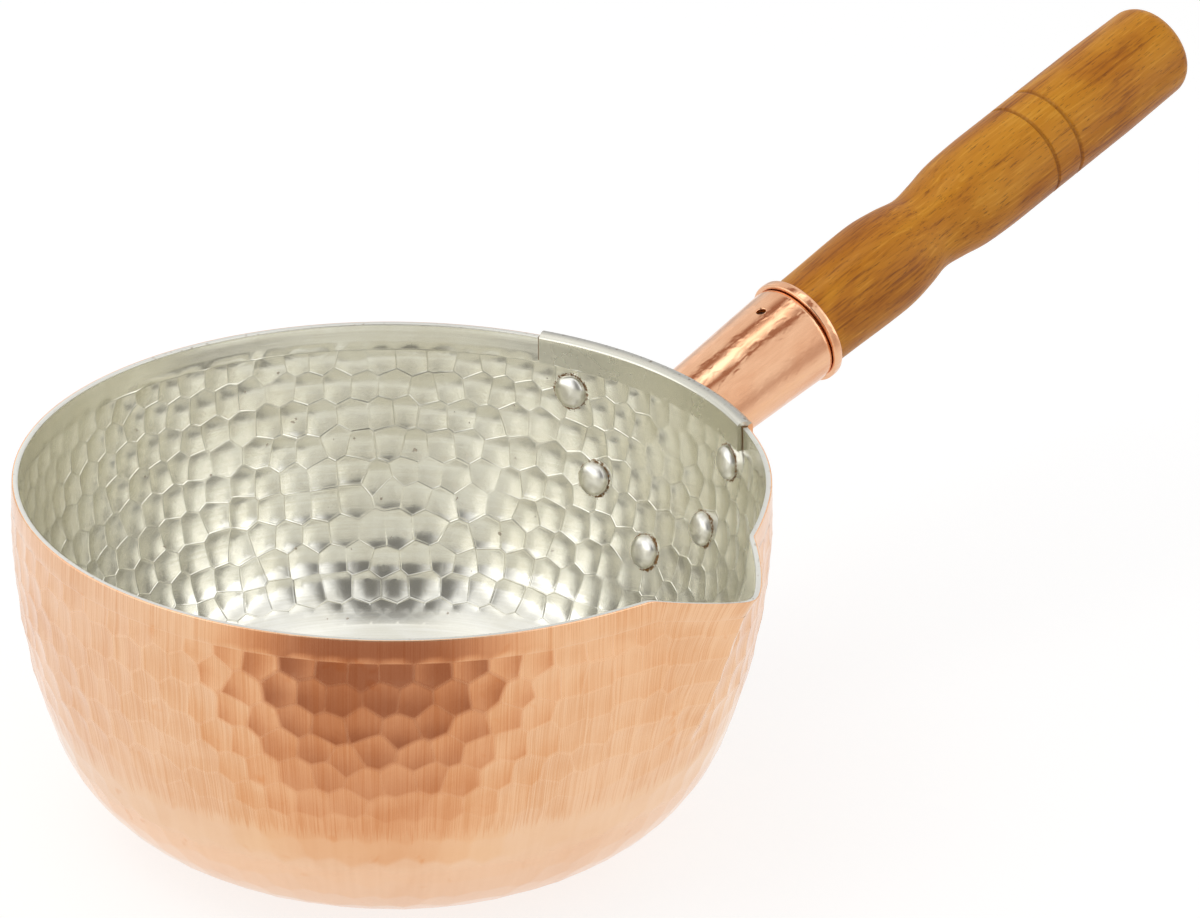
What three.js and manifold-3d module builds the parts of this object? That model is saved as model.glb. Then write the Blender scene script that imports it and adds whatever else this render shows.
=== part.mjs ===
import * as THREE from 'three';
import { mergeVertices } from 'three/addons/utils/BufferGeometryUtils.js';
import Module from 'manifold-3d';

// A hammered copper saucepan: a sheet bowl with one pouring spout, a riveted bracket hooked over
// the rim, and a turned wooden handle nailed into a conical socket.
// Millimetres, +Z up. The base rests on Z = 0 around the origin, and the handle leans up along +X.

const DEGREE = Math.PI / 180;

// Fits
const FIT_GAP = 0.3; // clearance between pieces that touch

// Bowl, measured on its outside. A tilt is the slope of the profile: 0 on the base, 90 degrees upright.
const RIM_RADIUS = 91.5;
const BOWL_SHEET = 1.5;
const CORNER_RADIUS = 41.4;
const CORNER_TILT = 70.8 * DEGREE; // where the corner arc runs into the wall arc
const WALL_RADIUS = 157.5;
const RIM_TILT = 93.8 * DEGREE; // the wall tucks in a little at the rim
const CORNER_STEPS = 6;
const LOW_WALL_STEPS = 2; // below the spout's foot
const HIGH_WALL_STEPS = 7; // from the foot to the rim
const BOWL_STEP = 5 * DEGREE;

// Spout, a fold with a rounded keel between two creases that meet at its foot on the wall
const SPOUT_AZIMUTH = -77.75 * DEGREE;
const SPOUT_HALF_ANGLE = 13.5 * DEGREE;
const SPOUT_DEPTH = 45.8;
const SPOUT_REACH = 8.4; // lean of the straight keel at the rim
const SPOUT_FLARE = 3.7; // extra turn of the lip at the rim
const SPOUT_FLARE_POWER = 6;
const SPOUT_SHOULDER = 1.1; // the rim beside the creases is drawn out this far
const SPOUT_DROP = 3.8; // the tip of the keel dips this far below the rim
const SPOUT_CREASE_POWER = 0.83;
const SPOUT_NOSE = 0.105; // rounding of the keel, as a share of the half width
const SPOUT_COLUMNS = [-1, -0.55, -0.25, -0.1, 0, 0.1, 0.25, 0.55, 1];
const SPOUT_MARGIN = 28.5 * DEGREE; // beyond this angle the wall is round again
const SPOUT_PINCH = 2.7 * DEGREE; // narrowest that the spout's columns come together
const SPOUT_RELEASE = 26; // height below the foot over which those columns spread again

// Bracket, one bent sheet: a lip inside the rim, a fold over it and a shield down the outside
const BRACKET_SHEET = 1.2;
const BRACKET_HALF_ANGLE = 24 * DEGREE;
const LIP_DEPTH = 6.5;
const SHIELD_SHOULDER = 16;
const SHIELD_DEPTH = 58;
const SHIELD_TAPER = 1.6;
const SHIELD_ROUNDING = 0.75;
const SHIELD_TIP = 0.985; // the tip is cut off here, to a short flat edge
const LIP_STEPS = 2;
const FOLD_STEPS = 6;
const SHIELD_STEPS = 11;
const BRACKET_COLUMNS = 16;

// Rivets, with a dome inside the bowl and a flatter peened head outside the bracket
const RIVET_SHANK = 2.1;
const RIVET_DOME_RADIUS = 4.4;
const RIVET_DOME_HEIGHT = 2.3;
const RIVET_PEEN_RADIUS = 3.9;
const RIVET_PEEN_HEIGHT = 1.5;
const RIVET_DOME_STEPS = 4;
const RIVET_SIDES = 14;
const RIVETS = [
  { name: 'rivet_top_left', azimuth: -18.5 * DEGREE, depth: 13.5 },
  { name: 'rivet_top_right', azimuth: 18.5 * DEGREE, depth: 13.5 },
  { name: 'rivet_middle_left', azimuth: -13 * DEGREE, depth: 35.4 },
  { name: 'rivet_middle_right', azimuth: 13 * DEGREE, depth: 35.4 },
  { name: 'rivet_bottom', azimuth: 0, depth: 49 },
];

// Handle axis: it crosses the bowl's axis at this height and rises along +X
const HANDLE_ROOT_HEIGHT = 40.6;
const HANDLE_RISE = 18.88 * DEGREE;

// Socket, a cone of sheet. Stations are distances along the handle axis from the bowl's axis.
const SOCKET_SHEET = 1.2;
const SOCKET_START = 88;
const SOCKET_MOUTH = 144.7;
const SOCKET_MOUTH_RADIUS = 13.65;
const SOCKET_TAPER = 0.0455; // growth of the radius along the axis
const SOCKET_SIDES = 36;
const SOCKET_RINGS = 2;

// Collar ring between the socket and the wood
const COLLAR_GAP = 0.4;
const COLLAR_WIDTH = 2.7;
const COLLAR_RADIUS = 14.65;
const COLLAR_EDGE = 0.6; // rounded outer edge
const COLLAR_EDGE_STEPS = 3;

// Wooden handle: a tenon, a neck with a waist, a barrel with two turned grooves and a rounded end
const TENON_START = 106;
const COLLAR_SEAT_RADIUS = 12.5;
const NECK_STATIONS = [148.1, 157, 170, 178.5, 186, 193.2, 200.5, 208, 218, 229];
const NECK_RADII = [12.7, 12.9, 13.3, 13.25, 12.3, 11.05, 11.8, 13, 13.48, 13.5];
const NECK_SAMPLES = 20;
const BARREL_RADIUS = 13.5;
const GROOVE_STATIONS = [233.8, 243];
const GROOVE_WIDTH = 1.2;
const GROOVE_DEPTH = 0.5;
const BARREL_END = 265;
const END_STATION = 289.9;
const END_RADIUS = 13.1;
const END_EDGE = 5.2;
const END_EDGE_STEPS = 4;
const HANDLE_SIDES = 32;

// Nail that pins the wood in the socket from above
const NAIL_STATION = 136.4;
const NAIL_RADIUS = 0.95;
const NAIL_LENGTH = 18;
const NAIL_TIP = 3;
const NAIL_SINK = 0.9; // its top lies this far below the socket's surface
const NAIL_SIDES = 12;

// Sizes that follow from the ones above
const BASE_RADIUS = RIM_RADIUS - CORNER_RADIUS * Math.sin(CORNER_TILT)
  - WALL_RADIUS * (Math.sin(RIM_TILT) - Math.sin(CORNER_TILT));
const RIM_HEIGHT = CORNER_RADIUS * (1 - Math.cos(CORNER_TILT))
  + WALL_RADIUS * (Math.cos(CORNER_TILT) - Math.cos(RIM_TILT));
const SPOUT_FOOT = RIM_HEIGHT - SPOUT_DEPTH;
const RIVET_HOLE = RIVET_SHANK + FIT_GAP;
const RIVET_STACK = BOWL_SHEET + FIT_GAP + BRACKET_SHEET;
const NAIL_HOLE = NAIL_RADIUS + FIT_GAP;
const COLLAR_START = SOCKET_MOUTH + COLLAR_GAP;

// Materials
const COPPER = { color: 0xd9926d, roughness: 0.3, metalness: 1 };
const TINNED = { color: 0xc4bfae, roughness: 0.32, metalness: 1 };
const WOOD = { color: 0xb87628, roughness: 0.35, metalness: 0 };
const STEEL = { color: 0x4a4036, roughness: 0.6, metalness: 1 };

const wasm = await Module();
wasm.setup();

// Numbers from first to last in equal steps, both ends included.
function spread(first, last, steps) {
  return Array.from({ length: steps + 1 }, (_, step) => first + ((last - first) * step) / steps);
}

// The outside of the bowl's profile at a tilt, moved along its outward normal: x is the radius, y the height.
function wallPoint(tilt, offset = 0) {
  const onCorner = tilt <= CORNER_TILT;
  const centreRadius = onCorner ? BASE_RADIUS : RIM_RADIUS - WALL_RADIUS * Math.sin(RIM_TILT);
  const centreHeight = onCorner ? CORNER_RADIUS : RIM_HEIGHT + WALL_RADIUS * Math.cos(RIM_TILT);
  const reach = (onCorner ? CORNER_RADIUS : WALL_RADIUS) + offset;
  return new THREE.Vector2(centreRadius + reach * Math.sin(tilt), centreHeight - reach * Math.cos(tilt));
}

// Tilt of the wall arc at a depth below the rim.
function tiltAtDepth(depth) {
  return Math.acos(Math.cos(RIM_TILT) + depth / WALL_RADIUS);
}

// Tilts of the rows up the bowl's wall, with one row at the height of the spout's foot.
function wallTilts() {
  const foot = tiltAtDepth(SPOUT_DEPTH);
  const low = spread(CORNER_TILT, foot, LOW_WALL_STEPS);
  return [...low, ...spread(foot, RIM_TILT, HIGH_WALL_STEPS).slice(1)];
}

// How far up the spout a height lies: 0 at its foot and below, 1 at the rim.
function spoutShare(height) {
  return THREE.MathUtils.clamp((height - SPOUT_FOOT) / SPOUT_DEPTH, 0, 1);
}

// Half angle between the mesh columns that follow the two creases.
function spoutHalfAngle(height) {
  const crease = SPOUT_HALF_ANGLE * spoutShare(height) ** SPOUT_CREASE_POWER;
  const below = THREE.MathUtils.clamp((SPOUT_FOOT - height) / SPOUT_RELEASE, 0, 1);
  return Math.max(crease, THREE.MathUtils.lerp(SPOUT_PINCH, SPOUT_HALF_ANGLE, below));
}

// The fold across the spout: 1 on the keel, 0 on either crease, with a rounded keel.
function spoutFold(across) {
  const rounded = (x) => Math.hypot(x, SPOUT_NOSE);
  return (rounded(1) - rounded(Math.min(Math.abs(across), 1))) / (rounded(1) - SPOUT_NOSE);
}

// Position of a profile point on the mesh column that leaves the rim at an angle from the spout's middle.
function bowlPoint(point, rimAngle) {
  const share = spoutShare(point.y);
  const half = spoutHalfAngle(point.y);
  const across = rimAngle / SPOUT_HALF_ANGLE;
  const past = (Math.abs(rimAngle) - SPOUT_HALF_ANGLE) / (SPOUT_MARGIN - SPOUT_HALF_ANGLE);
  const beyond = THREE.MathUtils.clamp(past, 0, 1);
  const outer = Math.sign(rimAngle) * THREE.MathUtils.lerp(half, SPOUT_MARGIN, beyond);
  const angle = Math.abs(across) <= 1 ? across * half : (beyond < 1 ? outer : rimAngle);
  const fold = spoutFold(across);
  const shoulder = SPOUT_SHOULDER * share * (1 - beyond) ** 2;
  const keel = SPOUT_REACH * share + SPOUT_FLARE * share ** SPOUT_FLARE_POWER;
  const radius = point.x + shoulder + fold * keel;
  const height = point.y - fold * SPOUT_DROP * share;
  const azimuth = SPOUT_AZIMUTH + angle;
  return [radius * Math.cos(azimuth), radius * Math.sin(azimuth), height];
}

// A closed mesh from its corner positions and triangle corners.
function meshGeometry(positions, corners) {
  const geometry = new THREE.BufferGeometry();
  geometry.setAttribute('position', new THREE.Float32BufferAttribute(positions, 3));
  geometry.setIndex(corners);
  geometry.computeVertexNormals();
  return geometry;
}

// Welds a closed geometry, leaves out triangles of no area and makes a solid of it.
function toSolid(geometry) {
  const bare = geometry.clone();
  bare.deleteAttribute('normal');
  bare.deleteAttribute('uv');
  const welded = mergeVertices(bare);
  const corners = [];
  for (let at = 0; at < welded.index.count; at += 3) {
    const [a, b, c] = [0, 1, 2].map((step) => welded.index.getX(at + step));
    if (a !== b && b !== c && c !== a) {
      corners.push(a, b, c);
    }
  }
  return new wasm.Manifold(new wasm.Mesh({
    numProp: 3,
    vertProperties: new Float32Array(welded.attributes.position.array),
    triVerts: new Uint32Array(corners),
  }));
}

// Cuts the tools out of a geometry.
function cut(geometry, tools) {
  const solid = tools.reduce((rest, tool) => rest.subtract(toSolid(tool)), toSolid(geometry));
  const mesh = solid.getMesh();
  return meshGeometry(Array.from(mesh.vertProperties), Array.from(mesh.triVerts));
}

// A turned piece whose profile gives radius and station, with its axis along the handle.
function turnedOnHandle(profile, sides) {
  const along = new THREE.Vector3(Math.cos(HANDLE_RISE), 0, Math.sin(HANDLE_RISE));
  const up = new THREE.Vector3(-Math.sin(HANDLE_RISE), 0, Math.cos(HANDLE_RISE));
  const frame = new THREE.Matrix4().makeBasis(up, along, new THREE.Vector3(0, 1, 0));
  frame.setPosition(0, 0, HANDLE_ROOT_HEIGHT);
  const points = profile.map(([radius, station]) => new THREE.Vector2(radius, station));
  return new THREE.LatheGeometry(points, sides).applyMatrix4(frame);
}

// Places a piece turned about +Y with that axis along the wall's outward normal, from the inner surface.
function placeOnWall(geometry, rivet) {
  const tilt = tiltAtDepth(rivet.depth);
  const foot = wallPoint(tilt, -BOWL_SHEET);
  const outward = new THREE.Vector3(Math.sin(tilt), 0, -Math.cos(tilt));
  const rise = new THREE.Vector3(Math.cos(tilt), 0, Math.sin(tilt));
  const frame = new THREE.Matrix4().makeBasis(rise, outward, new THREE.Vector3(0, 1, 0));
  frame.setPosition(foot.x, 0, foot.y);
  return geometry.applyMatrix4(frame).rotateZ(rivet.azimuth);
}

// Drills for the rivet holes, longer than the sheets are thick.
function rivetDrills() {
  const length = 4 * RIVET_STACK;
  return RIVETS.map((rivet) => {
    const drill = new THREE.CylinderGeometry(RIVET_HOLE, RIVET_HOLE, length, RIVET_SIDES);
    return placeOnWall(drill, rivet);
  });
}

// Drill for the nail, down from above the socket to just past the nail's tip.
function nailDrill() {
  const length = NAIL_LENGTH + NAIL_SINK + 2 * FIT_GAP;
  const drill = new THREE.CylinderGeometry(NAIL_HOLE, NAIL_HOLE, length, NAIL_SIDES);
  const top = socketRadius(NAIL_STATION) + FIT_GAP;
  return drill.translate(0, top - length / 2, 0).applyMatrix4(nailFrame());
}

// Frame at the nail's station with +Y square to the handle axis, upwards.
function nailFrame() {
  const along = new THREE.Vector3(Math.cos(HANDLE_RISE), 0, Math.sin(HANDLE_RISE));
  const up = new THREE.Vector3(-Math.sin(HANDLE_RISE), 0, Math.cos(HANDLE_RISE));
  const frame = new THREE.Matrix4().makeBasis(new THREE.Vector3(0, 1, 0), up, along);
  const place = along.multiplyScalar(NAIL_STATION);
  return frame.setPosition(place.x, place.y, place.z + HANDLE_ROOT_HEIGHT);
}

// Outer radius of the socket's cone at a station.
function socketRadius(station) {
  return SOCKET_MOUTH_RADIUS - SOCKET_TAPER * (SOCKET_MOUTH - station);
}

// Spherical cap as profile points from its pole on the axis to its edge; a negative height points down.
function capProfile(edgeRadius, height, edgeStation) {
  const bend = 2 * Math.atan(Math.abs(height) / edgeRadius);
  const ball = edgeRadius / Math.sin(bend);
  return spread(0, bend, RIVET_DOME_STEPS).map((angle) => {
    const rise = ball * (Math.cos(angle) - Math.cos(bend));
    return [ball * Math.sin(angle), edgeStation + Math.sign(height) * rise];
  });
}

// Angles from the spout's middle at which the mesh columns leave the rim, once round the bowl.
function bowlColumns() {
  const open = 2 * Math.PI - 2 * SPOUT_HALF_ANGLE;
  const steps = Math.round(open / BOWL_STEP);
  const plain = spread(SPOUT_HALF_ANGLE, 2 * Math.PI - SPOUT_HALF_ANGLE, steps).slice(1, -1);
  const folded = SPOUT_COLUMNS.map((across) => across * SPOUT_HALF_ANGLE);
  return [...folded, ...plain.map((angle) => (angle > Math.PI ? angle - 2 * Math.PI : angle))];
}

// The bowl: its profile carried round the axis, up the outside and down the inside, closed at both poles.
function bowl() {
  const corner = spread(0, CORNER_TILT, CORNER_STEPS);
  const tilts = [...corner, ...wallTilts().slice(1)];
  const outside = tilts.map((tilt) => wallPoint(tilt));
  const inside = tilts.map((tilt) => wallPoint(tilt, -BOWL_SHEET)).reverse();
  const profile = [...outside, ...inside];
  const columns = bowlColumns();
  const positions = profile.flatMap((point) => columns.flatMap((angle) => bowlPoint(point, angle)));
  const under = profile.length * columns.length;
  const floor = under + 1;
  positions.push(0, 0, 0, 0, 0, BOWL_SHEET);
  const last = under - columns.length;
  const corners = [];
  columns.forEach((_, column) => {
    const next = (column + 1) % columns.length;
    corners.push(under, next, column, floor, last + column, last + next);
    for (let row = 0; row < last; row += columns.length) {
      const above = row + columns.length;
      corners.push(row + column, row + next, above + column, row + next, above + next, above + column);
    }
  });
  return cut(meshGeometry(positions, corners), rivetDrills());
}

// Half angle of the bracket's shield at a depth below the rim: straight shoulders, then a rounded taper.
function shieldHalfAngle(depth) {
  const down = THREE.MathUtils.clamp((depth - SHIELD_SHOULDER) / (SHIELD_DEPTH - SHIELD_SHOULDER), 0, 1);
  return BRACKET_HALF_ANGLE * (1 - down ** SHIELD_TAPER) ** SHIELD_ROUNDING;
}

// A point on the flat oval that the bracket's fold takes over the rim, at a height above its near face.
function foldPoint(turn, above) {
  const outward = new THREE.Vector2(Math.sin(RIM_TILT), -Math.cos(RIM_TILT));
  const upward = new THREE.Vector2(Math.cos(RIM_TILT), Math.sin(RIM_TILT));
  const across = (BOWL_SHEET / 2 + FIT_GAP + above) * Math.cos(turn);
  const rise = (FIT_GAP + above) * Math.sin(turn);
  const middle = wallPoint(RIM_TILT, -BOWL_SHEET / 2);
  return middle.addScaledVector(outward, across).addScaledVector(upward, rise);
}

// Rows of the bracket from the lip's edge over the rim to the shield's tip: the two faces and the half angle.
function bracketRows() {
  const lip = spread(LIP_DEPTH, 0, LIP_STEPS).map((depth) => ({
    near: wallPoint(tiltAtDepth(depth), -BOWL_SHEET - FIT_GAP),
    far: wallPoint(tiltAtDepth(depth), -BOWL_SHEET - FIT_GAP - BRACKET_SHEET),
    half: BRACKET_HALF_ANGLE,
  }));
  const fold = spread(Math.PI, 0, FOLD_STEPS).slice(1, -1).map((turn) => ({
    near: foldPoint(turn, 0),
    far: foldPoint(turn, BRACKET_SHEET),
    half: BRACKET_HALF_ANGLE,
  }));
  const tip = THREE.MathUtils.lerp(SHIELD_SHOULDER, SHIELD_DEPTH, SHIELD_TIP);
  const shield = spread(0, tip, SHIELD_STEPS).map((depth) => ({
    near: wallPoint(tiltAtDepth(depth), FIT_GAP),
    far: wallPoint(tiltAtDepth(depth), FIT_GAP + BRACKET_SHEET),
    half: shieldHalfAngle(depth),
  }));
  return [...lip, ...fold, ...shield];
}

// The bracket: its rows spread across their half angles, with both faces, both sides and both ends closed.
function bracket() {
  const rows = bracketRows();
  const wide = BRACKET_COLUMNS + 1;
  const positions = rows.flatMap((row) => [row.near, row.far].flatMap((point) => (
    spread(-row.half, row.half, BRACKET_COLUMNS).flatMap((angle) => (
      [point.x * Math.cos(angle), point.x * Math.sin(angle), point.y]
    ))
  )));
  const corners = [];
  const quad = (a, b, c, d) => corners.push(a, b, c, c, b, d);
  const near = (row, column) => 2 * row * wide + column;
  const far = (row, column) => near(row, column) + wide;
  const lastRow = rows.length - 1;
  for (let column = 0; column < BRACKET_COLUMNS; column += 1) {
    for (let row = 0; row < lastRow; row += 1) {
      quad(near(row, column), near(row, column + 1), near(row + 1, column), near(row + 1, column + 1));
      quad(far(row, column + 1), far(row, column), far(row + 1, column + 1), far(row + 1, column));
    }
    quad(near(0, column + 1), near(0, column), far(0, column + 1), far(0, column));
    quad(near(lastRow, column), near(lastRow, column + 1), far(lastRow, column), far(lastRow, column + 1));
  }
  for (let row = 0; row < lastRow; row += 1) {
    quad(far(row, 0), near(row, 0), far(row + 1, 0), near(row + 1, 0));
    const side = BRACKET_COLUMNS;
    quad(near(row, side), far(row, side), near(row + 1, side), far(row + 1, side));
  }
  return cut(meshGeometry(positions, corners), rivetDrills());
}

// A rivet, from its dome inside the bowl through both sheets to the peened head.
function rivet(place) {
  const under = -FIT_GAP;
  const over = RIVET_STACK + FIT_GAP;
  const profile = [
    ...capProfile(RIVET_DOME_RADIUS, -RIVET_DOME_HEIGHT, under),
    [RIVET_SHANK, under],
    [RIVET_SHANK, over],
    ...capProfile(RIVET_PEEN_RADIUS, RIVET_PEEN_HEIGHT, over).reverse(),
  ];
  const points = profile.map(([radius, height]) => new THREE.Vector2(radius, height));
  return placeOnWall(new THREE.LatheGeometry(points, RIVET_SIDES), place);
}

// The solid of revolution that the socket's foot is shaped to: the bracket's outer face with its clearance.
function socketSaddle() {
  const offset = FIT_GAP + BRACKET_SHEET + FIT_GAP;
  const wall = wallTilts().map((tilt) => wallPoint(tilt, offset));
  const top = wall.at(-1).y + SOCKET_MOUTH_RADIUS;
  const points = [
    new THREE.Vector2(0, wall[0].y),
    ...wall,
    new THREE.Vector2(wall.at(-1).x, top),
    new THREE.Vector2(0, top),
  ];
  return new THREE.LatheGeometry(points, Math.round(2 * Math.PI / BOWL_STEP)).rotateX(Math.PI / 2);
}

// The socket: a conical tube with its foot cut to the bracket's curve and a nail hole on top.
function socket() {
  const stations = spread(SOCKET_START, SOCKET_MOUTH, SOCKET_RINGS);
  const outside = stations.map((station) => [socketRadius(station), station]);
  const inside = outside.map(([radius, station]) => [radius - SOCKET_SHEET, station]).reverse();
  const tube = turnedOnHandle([...outside, ...inside, outside[0]], SOCKET_SIDES);
  return cut(tube, [socketSaddle(), nailDrill()]);
}

// The collar: a ring with a rounded outer face on its own seat of the wood.
function collar() {
  const bore = COLLAR_SEAT_RADIUS + FIT_GAP;
  const end = COLLAR_START + COLLAR_WIDTH;
  const rounding = (angle) => [Math.cos(angle) * COLLAR_EDGE, Math.sin(angle) * COLLAR_EDGE];
  const lower = spread(-Math.PI / 2, 0, COLLAR_EDGE_STEPS).map(rounding);
  const upper = spread(0, Math.PI / 2, COLLAR_EDGE_STEPS).map(rounding);
  const edge = COLLAR_RADIUS - COLLAR_EDGE;
  const profile = [
    [bore, COLLAR_START],
    ...lower.map(([out, up]) => [edge + out, COLLAR_START + COLLAR_EDGE + up]),
    ...upper.map(([out, up]) => [edge + out, end - COLLAR_EDGE + up]),
    [bore, end],
    [bore, COLLAR_START],
  ];
  return turnedOnHandle(profile, SOCKET_SIDES);
}

// Profile of the wood beyond the collar: neck, grooved barrel and rounded end.
function handleProfile() {
  const stations = NECK_STATIONS.map((station, at) => new THREE.Vector2(NECK_RADII[at], station));
  const neck = new THREE.SplineCurve(stations).getPoints(NECK_SAMPLES).map((point) => [point.x, point.y]);
  const grooves = GROOVE_STATIONS.flatMap((station) => [
    [BARREL_RADIUS, station - GROOVE_WIDTH / 2],
    [BARREL_RADIUS - GROOVE_DEPTH, station],
    [BARREL_RADIUS, station + GROOVE_WIDTH / 2],
  ]);
  const edge = spread(0, Math.PI / 2, END_EDGE_STEPS).map((angle) => [
    END_RADIUS - END_EDGE * (1 - Math.cos(angle)),
    END_STATION - END_EDGE * (1 - Math.sin(angle)),
  ]);
  return [...neck, ...grooves, [BARREL_RADIUS, BARREL_END], ...edge, [0, END_STATION]];
}

// The wooden handle: a tapered tenon inside the socket, the collar's seat and the turned grip.
function handle() {
  const tenon = (station) => [socketRadius(station) - SOCKET_SHEET - FIT_GAP, station];
  const shoulder = SOCKET_MOUTH + FIT_GAP;
  const profile = [
    [0, TENON_START],
    tenon(TENON_START),
    tenon(shoulder),
    [COLLAR_SEAT_RADIUS, shoulder],
    [COLLAR_SEAT_RADIUS, COLLAR_START + COLLAR_WIDTH + FIT_GAP],
    ...handleProfile(),
  ];
  return cut(turnedOnHandle(profile, HANDLE_SIDES), [nailDrill()]);
}

// The nail: a plain round shank with a pointed tip, its top sunk below the socket's surface.
function nail() {
  const top = socketRadius(NAIL_STATION) - NAIL_SINK;
  const profile = [
    [0, top - NAIL_LENGTH],
    [NAIL_RADIUS, top - NAIL_LENGTH + NAIL_TIP],
    [NAIL_RADIUS, top],
    [0, top],
  ];
  const points = profile.map(([radius, height]) => new THREE.Vector2(radius, height));
  return new THREE.LatheGeometry(points, NAIL_SIDES).applyMatrix4(nailFrame());
}

const pan = new THREE.Group();

// Adds a named piece with a material of its own.
function add(name, geometry, finish) {
  const mesh = new THREE.Mesh(geometry, new THREE.MeshStandardMaterial(finish));
  mesh.name = name;
  pan.add(mesh);
}

add('pan_bowl', bowl(), COPPER);
add('handle_bracket', bracket(), COPPER);
add('handle_socket', socket(), COPPER);
add('socket_collar', collar(), COPPER);
add('wooden_handle', handle(), WOOD);
add('handle_nail', nail(), STEEL);
RIVETS.forEach((place) => add(place.name, rivet(place), TINNED));

export default pan;
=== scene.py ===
"""Looks of a hammered copper saucepan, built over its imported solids.

Everything is in metres in the pan's own frame: the base rests on Z = 0 around the origin, the handle
leans up along +X and the spout points near -Y. The bowl gets its hammer marks as real geometry, the
fittings are turned or bent again at a finer step, and every finish is a procedural material.
"""
import logging
import math
from dataclasses import dataclass, field
from enum import Enum, auto

import bpy
import numpy as np
from mathutils import Matrix, Vector
from mathutils.geometry import delaunay_2d_cdt


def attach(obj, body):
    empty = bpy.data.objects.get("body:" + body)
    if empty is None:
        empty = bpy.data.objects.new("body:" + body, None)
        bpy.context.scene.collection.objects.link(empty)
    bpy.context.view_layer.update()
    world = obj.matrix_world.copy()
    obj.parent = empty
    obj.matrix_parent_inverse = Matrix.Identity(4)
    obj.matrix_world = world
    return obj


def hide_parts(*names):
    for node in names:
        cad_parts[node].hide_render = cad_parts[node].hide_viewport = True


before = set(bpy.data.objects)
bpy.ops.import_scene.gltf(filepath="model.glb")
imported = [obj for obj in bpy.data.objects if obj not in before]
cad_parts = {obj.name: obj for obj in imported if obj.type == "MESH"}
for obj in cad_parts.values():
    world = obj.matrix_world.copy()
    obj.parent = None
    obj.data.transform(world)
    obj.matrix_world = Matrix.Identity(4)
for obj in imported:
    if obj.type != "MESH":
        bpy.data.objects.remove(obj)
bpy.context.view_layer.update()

LOG = logging.getLogger("saucepan")
MM = 0.001
DEGREE = math.pi / 180
TURN = 2 * math.pi
SIDE = np.array([0.0, 1.0, 0.0])
BODY = "root"

Triple = tuple[float, float, float]
Colour = tuple[float, float, float, float]
WHITE: Colour = (1.0, 1.0, 1.0, 1.0)


def tint(red: int, green: int, blue: int) -> Colour:
    """A colour from the three 0 to 255 values that a screen shows, as linear light."""
    return (*(((part / 255 + 0.055) / 1.055) ** 2.4 for part in (red, green, blue)), 1.0)


def smooth_step(value: np.ndarray, low: float, high: float) -> np.ndarray:
    """An S-shaped rise from 0 at low to 1 at high, as 3x2 - 2x3 of the share x."""
    share = np.clip((value - low) / (high - low), 0, 1)
    return share * share * (3 - 2 * share)


def fall(value: np.ndarray, low: float, high: float) -> np.ndarray:
    """An S-shaped fall from 1 at low to 0 at high."""
    return 1 - smooth_step(value, low, high)


def bell(value: np.ndarray, middle: float, width: float) -> np.ndarray:
    """A bell curve: 1 at the middle, and one over e at the width to either side."""
    return np.exp(-((value - middle) / width) ** 2)


def full_turn(sides: int) -> np.ndarray:
    """Angles in even steps round a full turn, as one row."""
    return np.linspace(0, TURN, sides, endpoint=False)[None, :]


def ripples(first: np.ndarray, second: np.ndarray, seed: int, waves: int = 7) -> np.ndarray:
    """Soft unevenness over two coordinates, from -1 to 1: a mean of sine waves in seeded directions.

    Args:
        first: One coordinate in radians of the base wave.
        second: The other coordinate, of a shape that fits.
        seed: Seed of the waves' directions and phases.
        waves: Number of waves that are added.

    Returns:
        The unevenness at each point.
    """
    draw = np.random.default_rng(seed)
    turns = draw.integers(1, 9, waves)
    rates = draw.uniform(-1.6, 1.6, waves)
    starts = draw.uniform(0, TURN, waves)
    total = np.zeros(np.broadcast(first, second).shape)
    for turn, rate, start in zip(turns, rates, starts):
        total = total + np.sin(turn * first + rate * second + start)
    return total / waves


def round_axis(radius: np.ndarray | float, height: np.ndarray | float, turn: np.ndarray | float,
               middle: np.ndarray, axes: tuple[np.ndarray, np.ndarray, np.ndarray]) -> np.ndarray:
    """The middle, plus a radius turned from the first axis to the second, plus a height on the third."""
    radius, height, turn = np.broadcast_arrays(radius, height, turn)
    return middle + np.stack([radius * np.cos(turn), radius * np.sin(turn), height], -1) @ np.stack(axes)


def placed(name: str, data: bpy.types.ID) -> bpy.types.Object:
    """A new object of a mesh, lamp or camera, linked to the scene."""
    made = bpy.data.objects.new(name, data)
    bpy.context.scene.collection.objects.link(made)
    return made


class Ends(Enum):
    """How the open ends of a woven surface are closed."""

    POLES = auto()
    LOOP = auto()
    STRIPS = auto()


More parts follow.
